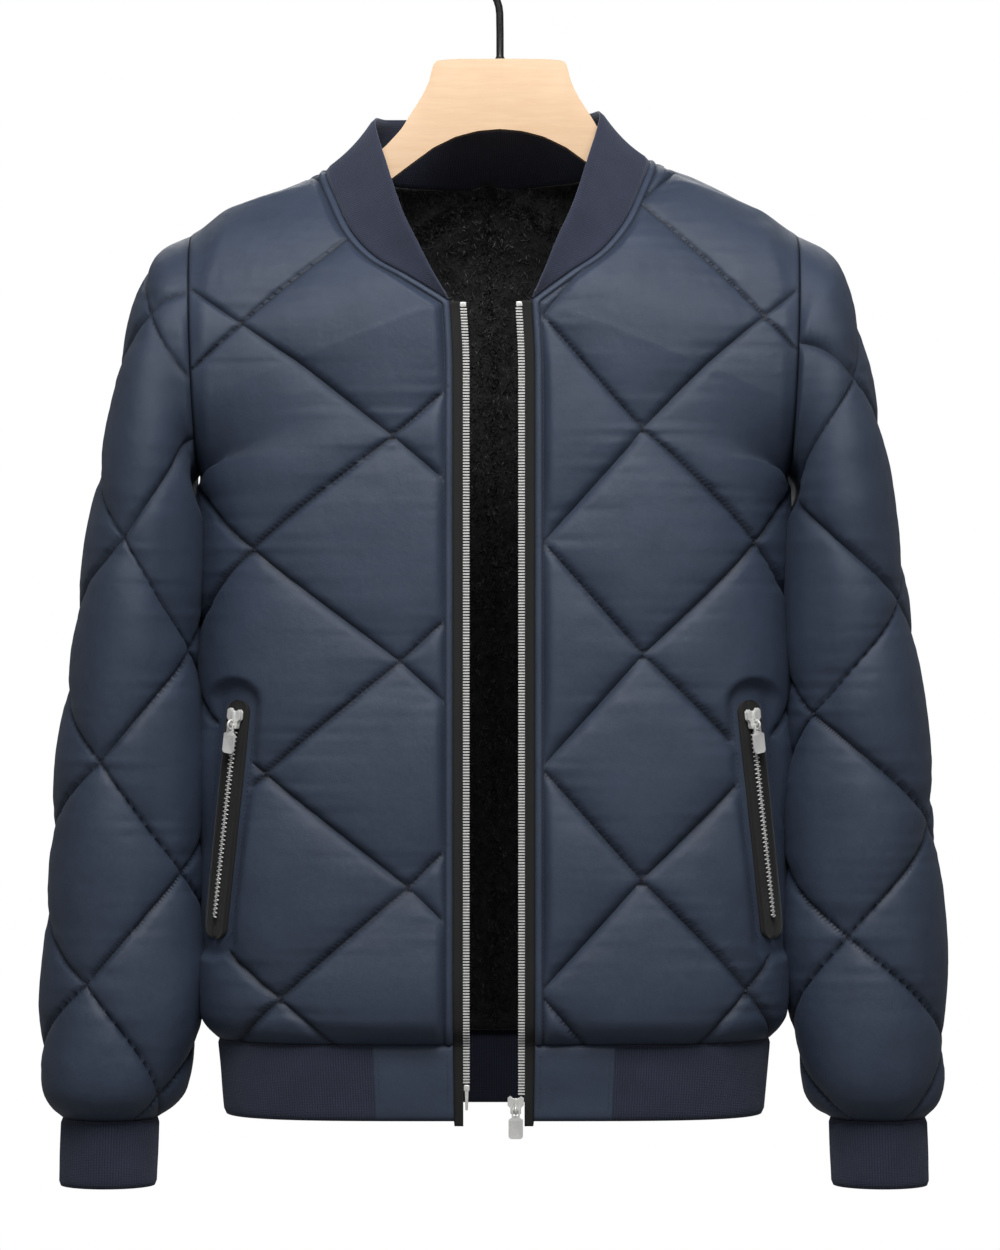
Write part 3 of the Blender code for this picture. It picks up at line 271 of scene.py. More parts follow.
@dataclass(frozen=True)
class Hang:
    """How the cloth hangs on the hanger: a little aside, in front, with the neck tilted."""

    shift_x: float = -4.3
    shift_y: float = -5.0
    neck_shift_x: float = -4.7
    neck_tilt: float = 0.031

    def place(self, points: Array) -> Array:
        """Points of the garment's own frame where they hang, still in millimetres."""
        points = np.array(points, float)
        x, z = points[..., 0].copy(), points[..., 2]
        near_neck = (1 - ease(120.0, 195.0, np.abs(x))) * ease(-330.0, -225.0, z)
        points[..., 0] = x + self.shift_x + self.neck_shift_x * near_neck
        points[..., 1] += self.shift_y
        points[..., 2] = z + self.neck_tilt * x * near_neck
        return points

    def both(self, outer: Array, inner: Array, sign: float = 1.0) -> tuple[Array, Array]:
        """Both skins of a wall on a side of the garment, hung."""
        return self.place(mirrored(outer, sign)), self.place(mirrored(inner, sign))


HANG = Hang()


class Neckline:
    """The neck seam and the collar above it, on the left half; t runs from front to nape."""

    @staticmethod
    def share(v: Array, facing: Facing) -> Array:
        """Where a panel's row meets the neck seam, as a share of the seam."""
        if facing is Facing.FRONT:
            return T_NECK_POINT * (v - V_ZIP) / (1 - V_ZIP)
        return 1.0 - (1.0 - T_NECK_POINT) * (v - V_NAPE) / (1 - V_NAPE)

    @staticmethod
    def curve(t: Array, keys: Sequence[str] = ("x", "y", "z")) -> Array:
        """Points of the smooth seam, or of the free edge with its own keys."""
        return np.stack([along(NECK, key, t) for key in keys], axis=-1)

    @classmethod
    def seam(cls, t: Array) -> Array:
        """Points of the neck seam."""
        return cls.curve(t)

    @classmethod
    def edge(cls, t: Array) -> Array:
        """Points of the collar's free edge."""
        return cls.curve(t, ("edge_x", "edge_y", "edge_z"))

    @classmethod
    def outward(cls, t: Array) -> Array:
        """Direction out of the neck, square to the collar."""
        step = 0.01
        t = np.asarray(t, float)
        run = cls.curve(t + step) - cls.curve(t - step)
        normal = unit(np.cross(run, cls.edge(t) - cls.curve(t)))
        outward = cls.curve(t) * np.array((1.0, 1.0, 0.0)) + np.array((0.0, 0.0, 1.0))
        flip = np.sum(normal * outward, axis=-1, keepdims=True) < 0
        return np.where(flip, -normal, normal)

    @classmethod
    def sewn_normal(cls, t: Array) -> Array:
        """Direction in which collar and panel both lean where they are sewn."""
        return unit(cls.outward(t) + np.array((0.0, 0.0, SEAM_LEAN)))


class Body:
    """Inner skin of a front or of half the back; u 0 is the middle and 1 the side."""

    armhole_reach = {Facing.FRONT: 70.0, Facing.BACK: 74.0}

    @classmethod
    def armhole(cls, angle: Array, facing: Facing) -> Array:
        """Point of the armhole; angle 0 is the shoulder tip, pi the armpit."""
        angle = np.asarray(angle, float)[..., None]
        bow = np.array((0.0, facing.value * cls.armhole_reach[facing], 0.0))
        return (TIP + PIT) / 2 + (TIP - PIT) / 2 * np.cos(angle) + bow * np.sin(angle)

    @staticmethod
    def inner_edge(v: Array, facing: Facing) -> Array:
        """A panel's edge at centre front or centre back, and on along the neckline."""
        v = np.asarray(v, float)
        if facing is Facing.FRONT:
            corner, depth, x, top = V_ZIP, "front", ZIP_EDGE_X, ZIP_TOP_Z
        else:
            corner, depth, x, top = V_NAPE, "back", 0.0, NECK[-1].z
        z = HEM_SEAM_Z + (top - HEM_SEAM_Z) * v / corner
        straight = np.stack([np.full_like(z, x), along(LEVELS, depth, v), z], axis=-1)
        return np.where((v <= corner)[..., None], straight, Neckline.seam(Neckline.share(v, facing)))

    @classmethod
    def outer_edge(cls, v: Array, facing: Facing) -> Array:
        """A panel's edge at the side seam, and on along the armhole to the shoulder tip."""
        v = np.asarray(v, float)
        z = HEM_SEAM_Z + (PIT[2] - HEM_SEAM_Z) * v / V_PIT
        side = np.stack([along(LEVELS, "side", v), np.zeros_like(z), z], axis=-1)
        angle = math.pi * (1 - (v - V_PIT) / (1 - V_PIT))
        return np.where((v <= V_PIT)[..., None], side, cls.armhole(angle, facing))

    @classmethod
    def point(cls, u: Array, v: Array, facing: Facing) -> Array:
        """Points of the inner skin at u and v."""
        u, v = np.broadcast_arrays(np.asarray(u, float), np.asarray(v, float))
        start, end = cls.inner_edge(v, facing), cls.outer_edge(v, facing)
        turn = np.radians(along(LEVELS, "turn", v))
        across = np.sin(turn * u) / np.sin(turn)
        deep = ((1 - np.cos(turn * np.maximum(u, 0.0))) / (1 - np.cos(turn))) ** along(LEVELS, "flat", v)
        return start + (end - start) * np.stack([across, deep, across], axis=-1)

    @classmethod
    def girth(cls, v: Array, facing: Facing) -> tuple[Array, Array]:
        """Lengths along sections.

        Args:
            v: heights of the sections, one for each row.
            facing: front or back.

        Returns:
            Shares u, and for each row the length in millimetres from the middle to each share.
        """
        us = np.linspace(0.0, 1.0, 41)
        points = cls.point(us[None, :], np.asarray(v, float)[:, None], facing)
        steps = np.linalg.norm(np.diff(points, axis=1), axis=-1)
        return us, np.concatenate((np.zeros((len(steps), 1)), np.cumsum(steps, axis=1)), axis=1)


class Sleeve:
    """Inner skin of the left sleeve; angle 0 is the side away from the body, pi/2 the front."""

    @staticmethod
    def point(angle: Array, t: Array) -> Array:
        """Points of the inner skin at a bearing in radians and a share t of the length."""
        angle, t = np.broadcast_arrays(np.asarray(angle, float), np.asarray(t, float))
        c, s = np.cos(angle), np.sin(angle)
        out_x, in_x = along(RINGS, "out_x", t), along(RINGS, "in_x", t)
        out_z, in_z = along(RINGS, "out_z", t), along(RINGS, "in_z", t)
        rest_y = TIP[1] / 2 * (1 + c) * (1 - ease(0.0, 0.2, t))
        reach = np.where(s > 0, along(RINGS, "fore", t), along(RINGS, "aft", t))
        return np.stack([(out_x + in_x) / 2 + (out_x - in_x) / 2 * c, rest_y - reach * s,
                         (out_z + in_z) / 2 + (out_z - in_z) / 2 * c], axis=-1)


def skin_normal(place: Callable[[Array, Array], Array], a: Array, b: Array, outward: Array) -> Array:
    """Normal of a skin.

    Args:
        place: gives the skin's points from two parameters.
        a: first parameter.
        b: second parameter.
        outward: a vector on the side that the normal should take.

    Returns:
        Unit normals.
    """
    step = 0.004
    along_a = place(np.clip(a + step, 0, None), b) - place(np.clip(a - step, 0, None), b)
    along_b = place(a, b + step) - place(a, b - step)
    normal = unit(np.cross(along_a, along_b))
    flip = np.sum(normal * outward, axis=-1, keepdims=True) < 0
    return np.where(flip, -normal, normal)


# ---------------------------------------------------------------- quilting

@dataclass(frozen=True)
class Columns:
    """Columns of quilt crossings: where each runs at the lattice's top and at its bottom."""

    first_z: float
    top: tuple[float, ...]
    bottom: tuple[float, ...]
    swing: float = 0.0               # how far they swing at the shoulder, where the sleeve turns


@dataclass(frozen=True)
class Quilting:
    """Diamond quilting: its lattice, how the wadding stands up and how the thread pulls it in."""

    half_pitch: float = 79.3         # height between crossings of neighbouring columns
    top_z: float = -300.0
    bottom_z: float = -760.0
    swing_z: float = -445.0          # above it a sleeve's columns swing round
    puff: float = 7.6                # how far the wadding stands above a stitched line
    reach: float = 0.125             # lattice distance over which it rises
    quick_reach: float = 0.012       # and over which the first part of it rises
    quick_share: float = 0.22
    thread_pull: float = 1.3         # how far the stitching cuts in below the flat cloth
    beside: float = 0.6              # half the width of that cut
    pucker: float = 0.75             # height of the small gathers beside a stitched line
    fronts = {
        Side.RIGHT: Columns(-294.7, (-22.0, 74.0, 184.0, 290.0), (-20.0, 58.0, 152.0, 246.0)),
        Side.LEFT: Columns(-289.7, (36.0, 107.0, 196.0, 290.0), (32.0, 103.0, 182.0, 262.0)),
    }
    back = Columns(-374.0, (-92.0, 0.0, 92.0, 184.0, 280.0), (-92.0, 0.0, 92.0, 184.0, 270.0))
    sleeves = {
        Side.RIGHT: Columns(-445.0, (74.0, 158.0, 248.0, 336.0), (67.0, 142.0, 236.0, 326.0), -26.0),
        Side.LEFT: Columns(-490.0, (50.0, 176.0, 250.0, 320.0), (12.0, 106.0, 196.0, 284.0)),
    }

    def lattice(self, across: Array, z: Array, columns: Columns,
                turn: float = 0.0) -> tuple[Array, Array]:
        """Numbers of the stitched lines at points of a panel.

        Args:
            across: distance round the garment, or bearing in degrees on a sleeve.
            z: height in millimetres.
            columns: the panel's columns of crossings.
            turn: the full turn after which columns repeat, or 0 on a panel.

        Returns:
            Two families of line numbers, whole on a stitched line.
        """
        low, high = -0.3, 1.3
        down = np.clip((self.top_z - z) / (self.top_z - self.bottom_z), low, high)
        swing = columns.swing * np.clip((z - self.swing_z) / (2 * self.half_pitch), 0.0, 1.3)
        spots = [top + (end - top) * down + swing for top, end in zip(columns.top, columns.bottom)]
        first = 0
        if turn:
            spots = [spots[2] - turn, spots[3] - turn, *spots, spots[0] + turn]
            first = -2
        p = np.zeros_like(across)
        for i in range(len(spots) - 1):
            inside = np.full(across.shape, True) if i == 0 else across >= spots[i]
            p = np.where(inside, i + first + (across - spots[i]) / (spots[i + 1] - spots[i]), p)
        q = (columns.first_z - z) / self.half_pitch
        return (p + q) / 2, (p - q) / 2

    def height(self, families: Sequence[Array]) -> Array:
        """0 on a stitched line, 1 in the middle of a quilted cell."""
        height = np.ones_like(families[0])
        for value in families:
            off = np.abs(value - np.round(value))
            height = height * (1 - (1 - self.quick_share) * np.exp(-off / self.reach)
                               - self.quick_share * np.exp(-off / self.quick_reach))
        return height

    def sewn(self, families: Sequence[Array]) -> Array:
        """Painted shade of the cloth where it lies deep in a stitched line: 1 on it, 0 away from it."""
        off = np.minimum(*(np.abs(value - np.round(value)) for value in families)) * self.half_pitch
        # painted shade: a narrow dark core on the line and a faint wider fall-off beside it
        return 0.88 * np.exp(-((off / 0.3) ** 2)) + 0.12 * np.exp(-off / 4.0)

    def gathers(self, families: Sequence[Array], points: Array, noise: Noise) -> Array:
        """Small gathers that run square to each stitched line and die out beside it."""
        total = np.zeros_like(families[0])
        for number, value in enumerate(families):
            line = np.round(value)
            off = np.abs(value - line) * self.half_pitch
            place = np.stack([points[..., 2] + 31.0 * line, 0 * line + 17.0 * number, 0 * line], axis=-1)
            ripple = noise.at(place, 5.2) + 0.6 * noise.at(place + 400.0, 11.0)
            total += ripple * np.exp(-off / 9.0) * (1 - np.exp(-off / 1.6))
        return total * self.pucker


    def lift(self, families: Sequence[Array], place: Array, fade: Array, bed: Array,
             look: "Crumples") -> Array:
        """How far the outer skin stands off the inner one.

        Args:
            families: numbers of the stitched lines at the points.
            place: the points, on their side of the garment.
            fade: 0 at the seams, 1 where the quilting is free.
            bed: 0 where the wadding is stitched flat, 1 elsewhere.
            look: the piece's unevenness.

        Returns:
            Heights in millimetres.
        """
        noise, fine = Noise(look.seed), Noise(look.seed + 5)
        cells = 1.0 + 0.16 * noise.at(place, look.cell_size)
        lift = WALL + self.puff * self.height(families) * fade * bed * cells
        nearest = np.minimum(*(np.abs(value - np.round(value)) for value in families))
        sewn = (fade > 0.02) & (bed > 0.35)
        lift -= self.thread_pull * np.exp(-(nearest * self.half_pitch / 0.5) ** 2) * sewn
        lift += self.gathers(families, place, noise) * fade * bed
        broad, middle = look.sizes
        lift += look.height * (0.6 * noise.at(place, broad) + 0.4 * noise.at(place, middle)) * fade
        return lift + 0.13 * fine.at(place * np.array((1.0, 1.0, look.stretch)), 6.5) * fade


@dataclass(frozen=True)
class Crumples:
    """Unevenness of a quilted piece."""

    seed: int
    height: float                    # of the broad crumples
    sizes: tuple[float, float]       # widths of the broad and the middling ones
    cell_size: float                 # over which the quilted cells vary in height
    stretch: float                   # how fast the finest change along Z


QUILTING = Quilting()


# ---------------------------------------------------------------- cloth meshes

@dataclass
class Wall:
    """Grids of points, rows by columns, of a cloth wall; creased marks points on stitched lines."""

    outer: Array
    inner: Array
    creased: Array
    cloth_uv: Array
    closed: bool = False             # the last column meets the first
    open_rows: int = 0               # rows whose first column joins the mirrored half
    inner_step: int = 4              # the plain inner skin takes each such row and column
    sewn: Optional[Array] = None     # painted shade of the outer points, for lying deep in a stitched line, a seam or between ribs


class ClothMesh:
    """Collects walls into one mesh: fine outer skin, plain inner skin and the rim between."""

    def __init__(self) -> None:
        """Start with no points and no faces."""
        self.points: list[Array] = []
        self.uvs: list[Array] = []
        # painted shade of each point, for the sewn attribute
        self.sewn: list[Array] = []
        self.faces: list[tuple[int, ...]] = []
        self.total = 0

    def _take(self, points: Array, uv: Array, sewn: Optional[Array]) -> int:
        """Add points and return the number of the first."""
        first = self.total
        self.points.append(points.reshape(-1, 3))
        self.uvs.append(uv.reshape(-1, 2))
        self.sewn.append(np.zeros(points[..., 0].size) if sewn is None else sewn.ravel())
        self.total += points.reshape(-1, 3).shape[0]
        return first

    def skin(self, points: Array, creased: Array, uv: Array, sewn: Optional[Array] = None,
             flip: bool = False) -> Array:
        """Add one skin.

        Args:
            points: (rows, columns, 3) places.
            creased: points whose neighbours along a stitched line share a face's diagonal.
            uv: (rows, columns, 2) place on the flat cloth, in metres.
            sewn: painted shade of each point, for lying deep in a stitched line, a seam or between ribs.
            flip: turn the faces round.

        Returns:
            The points' numbers, rows by columns.
        """
        rows, columns = points.shape[:2]
        number = np.arange(rows * columns).reshape(rows, columns) + self._take(points, uv, sewn)
        a, b = number[:-1, :-1], number[:-1, 1:]
        d, c = number[1:, :-1], number[1:, 1:]
        rising = creased[:-1, :-1] & creased[1:, 1:]
        falling = creased[:-1, 1:] & creased[1:, :-1] & ~rising
        plain = ~(rising | falling)
        groups = [np.stack([x[plain] for x in (a, b, c, d)], axis=1)]
        groups += [np.stack([x[rising] for x in corner], axis=1) for corner in ((a, b, c), (a, c, d))]
        groups += [np.stack([x[falling] for x in corner], axis=1) for corner in ((a, b, d), (b, c, d))]
        for group in groups:
            self.faces += [tuple(face) for face in (group[:, ::-1] if flip else group).tolist()]
        return number

    def rim(self, fine: Array, coarse: Array, spots: Array, flip: bool) -> None:
        """Strip from a skin's fine border to the plain skin's border, whose points lie at spots."""
        for k in range(len(coarse) - 1):
            low, high = int(spots[k]), int(spots[k + 1])
            middle = (low + high + 1) // 2
            strip = [(fine[i], fine[i + 1], coarse[k]) for i in range(low, middle)]
            strip += [(fine[middle], coarse[k + 1], coarse[k])]
            strip += [(fine[i], fine[i + 1], coarse[k + 1]) for i in range(middle, high)]
            for face in strip:
                face = tuple(int(i) for i in face)
                self.faces.append(face[::-1] if flip else face)

    def wall(self, wall: Wall) -> None:
        """Add both skins of a wall and the rim between them."""
        outer = self.skin(wall.outer, wall.creased, wall.cloth_uv, wall.sewn)
        rows, columns = outer.shape
        keep_rows = np.unique(np.append(np.arange(0, rows, wall.inner_step), rows - 1))
        if wall.open_rows:
            keep_rows = np.unique(np.append(keep_rows, wall.open_rows - 1))
        keep_columns = np.unique(np.append(np.arange(0, columns, wall.inner_step), columns - 1))
        pick = np.ix_(keep_rows, keep_columns)
        none = np.zeros((len(keep_rows), len(keep_columns)), bool)
        # the knits' inner skins keep their painted shade between ribs
        ribs = wall.sewn[pick] if wall.sewn is not None and wall.inner_step <= 2 else None
        inner = self.skin(wall.inner[pick], none, wall.cloth_uv[pick], ribs, flip=True)
        self.rim(outer[0], inner[0], keep_columns, True)
        self.rim(outer[-1], inner[-1], keep_columns, False)
        if wall.closed:
            return
        free = keep_rows >= max(wall.open_rows - 1, 0)
        self.rim(outer[:, 0], inner[free, 0], keep_rows[free], False)
        self.rim(outer[:, -1], inner[:, -1], keep_rows, True)

    def build(self, name: str, material: bpy.types.Material, weld: float = 0.02) -> bpy.types.Object:
        """Make the object.

        Args:
            name: the object's name.
            material: its finish.
            weld: points this near to each other become one, in millimetres.

        Returns:
            The object, at the origin, with faces that point outwards.
        """
        points = np.concatenate(self.points) * MM
        uvs = np.concatenate(self.uvs)
        mesh = bpy.data.meshes.new(name)
        mesh.from_pydata(points.tolist(), [], self.faces)
        layer = mesh.uv_layers.new(name="cloth")
        corner = np.zeros(len(mesh.loops), np.int32)
        mesh.loops.foreach_get("vertex_index", corner)
        layer.data.foreach_set("uv", uvs[corner].astype(np.float32).ravel())
        # The sewn attribute is painted shade: the finishes darken their colour by it.
        depth = mesh.attributes.new("sewn", "FLOAT", "POINT")
        depth.data.foreach_set("value", np.concatenate(self.sewn).astype(np.float32))
        made = bmesh.new()
        made.from_mesh(mesh)
        bmesh.ops.remove_doubles(made, verts=made.verts[:], dist=weld * MM)
        bmesh.ops.recalc_face_normals(made, faces=made.faces[:])
        made.to_mesh(mesh)
        made.free()
        mesh.shade_smooth()
        mesh.materials.append(material)
        item = bpy.data.objects.new(name, mesh)
        bpy.context.scene.collection.objects.link(item)
        return item


def follow_lines(u: Array, families: Sequence[Array], beside: Array) -> tuple[Array, Array]:
    """Move a grid's points onto the stitched lines, row by row.

    Args:
        u: (rows, columns) first parameter of the grid's points.
        families: line numbers at those points.
        beside: for each row, the step in u to the points just beside a line.

    Returns:
        The moved parameters, and which points lie on a line.
    """
    moved, creased = u.copy(), np.zeros(u.shape, bool)
    columns = u.shape[1]
    for row in range(u.shape[0]):
        for family in families:
            values = family[row]
            for line in range(math.ceil(values[0]), math.floor(values[-1]) + 1):
                place = float(np.interp(line, values, u[row]))
                i = int(np.argmin(np.abs(u[row] - place)))
                if not 2 <= i < columns - 2 or creased[row, i]:
                    continue
                moved[row, i] = place
                creased[row, i] = True
                for step in (-1, 1):
                    if not creased[row, i + step]:
                        moved[row, i + step] = place + step * beside[row]
    return np.maximum.accumulate(moved, axis=1), creased


def mesh_object(name: str, points: Array, faces: Sequence[Sequence[int]]) -> bpy.types.Object:
    """A linked object of points, in metres, and faces."""
    mesh = bpy.data.meshes.new(name)
    mesh.from_pydata(points.tolist(), [], faces)
    item = bpy.data.objects.new(name, mesh)
    bpy.context.scene.collection.objects.link(item)
    return item


class Stitching:
    """Rows of thread along polylines, joined into one mesh."""

    pitch = 3.3              # from one stitch to the next, millimetres
    share = 0.62             # of the pitch that a stitch covers
    thick = 0.27             # half the thread's thickness

    def __init__(self) -> None:
        """Start with no rows."""
        self.rows: list[tuple[Array, Array]] = []

    def add(self, line: Array, out: Array) -> None:
        """Add a row along a line of points, with the direction out of the cloth at each."""
        if len(line) > 2:
            self.rows.append((line, out))

    def build(self, name: str, material: bpy.types.Material) -> Optional[bpy.types.Object]:
        """Make every stitch as a small pointed prism; None if there is no row."""
        points, faces = [], []
        ring = ((1.0, 0.0), (0.0, 1.0), (-1.0, 0.0), (0.0, -0.6))
        for line, out in self.rows:
            steps = np.linalg.norm(np.diff(line, axis=0), axis=1)
            run = np.concatenate(((0.0,), np.cumsum(steps)))
            for start in np.arange(self.pitch, run[-1] - 2 * self.pitch, self.pitch):
                at = start + self.pitch * self.share * np.array((0.0, 0.22, 0.78, 1.0))
                place = np.stack([np.interp(at, run, line[:, k]) for k in range(3)], axis=1)
                up = unit(np.array([np.interp(at[1], run, out[:, k]) for k in range(3)]))
                side = unit(np.cross(place[-1] - place[0], up))
                first = len(points)
                points.append(place[0] + up * 0.02)
                for middle in place[1:3]:
                    points += [middle + (side * a + up * (b + 0.35)) * self.thick for a, b in ring]
                points.append(place[3] + up * 0.02)
                low, high, last = first + 1, first + 5, first + 9
                for k in range(4):
                    n = (k + 1) % 4
                    faces += [(first, low + n, low + k), (low + k, low + n, high + n, high + k),
                              (high + k, high + n, last)]
        if not points:
            return None
        return Bench.finish(mesh_object(name, np.array(points) * MM, faces), material)


def line_rows(families: Sequence[Array], outer: Array, out: Array,
              sewn: Array) -> list[tuple[Array, Array]]:
    """Trace the stitched lines over a grid.

    Args:
        families: line numbers at the grid's points.
        outer: the outer skin's points.
        out: directions out of the cloth.
        sewn: where the cloth is quilted.

    Returns:
        Lines of points with their directions, cut where the cloth isn't quilted.
    """
    found = []
    for family in families:
        for line in range(math.ceil(family.min()), math.floor(family.max()) + 1):
            points, ways = [], []
            for row in range(family.shape[0]):
                values = family[row]
                place = float(np.interp(line, values, np.arange(len(values))))
                i = min(int(place), len(values) - 2)
                inside = values[0] <= line <= values[-1] and sewn[row, i]
                if inside:
                    f = place - i
                    points.append(outer[row, i] * (1 - f) + outer[row, i + 1] * f)
                    ways.append(out[row, i])
                elif points:
                    found.append((np.array(points), np.array(ways)))
                    points, ways = [], []
            if points:
                found.append((np.array(points), np.array(ways)))
    return found


# ---------------------------------------------------------------- quilted pieces

@dataclass(frozen=True)
class PocketPlace:
    """Where a side pocket's zip runs on a front, as x and z of its two ends."""

    top: tuple[float, float] = (178.0, -562.0)
    end: tuple[float, float] = (195.5, -728.0)
    clear: tuple[float, float] = (11.9, 19.0)    # the wadding is stitched flat, then free
    stitch: float = 11.8                         # the surround's outer row of stitching

    def beside(self, points: Array) -> Array:
        """Distance of points on a front from the pocket's line, seen from in front."""
        top, run = np.array(self.top), np.array(self.end) - np.array(self.top)
        flat = points[..., (0, 2)] - top
        share = np.clip(flat @ run / (run @ run), 0.0, 1.0)
        return np.linalg.norm(flat - share[..., None] * run, axis=-1)

    def on_front(self, share: Array, across: Array) -> tuple[Array, Array]:
        """(u, v) on a front beside the pocket's line; share 0 is its upper end."""
        top, run = np.array(self.top), np.array(self.end) - np.array(self.top)
        square = np.array((-run[1], run[0])) / np.linalg.norm(run)
        place = top + np.asarray(share)[..., None] * run + np.asarray(across)[..., None] * square
        x, z = place[..., 0], place[..., 1]
        u, v = np.full_like(x, 0.8), V_ZIP * (z - HEM_SEAM_Z) / (ZIP_TOP_Z - HEM_SEAM_Z)
        for _ in range(14):
            point = Body.point(u, v, Facing.FRONT)
            slope = (Body.point(u + 0.002, v, Facing.FRONT)[..., 0] - point[..., 0]) / 0.002
            v = v + (z - point[..., 2]) / (ZIP_TOP_Z - HEM_SEAM_Z) * V_ZIP
            u = np.clip(u + 0.8 * (x - point[..., 0]) / slope, 0.3, 0.995)
        return u, v


POCKET = PocketPlace()


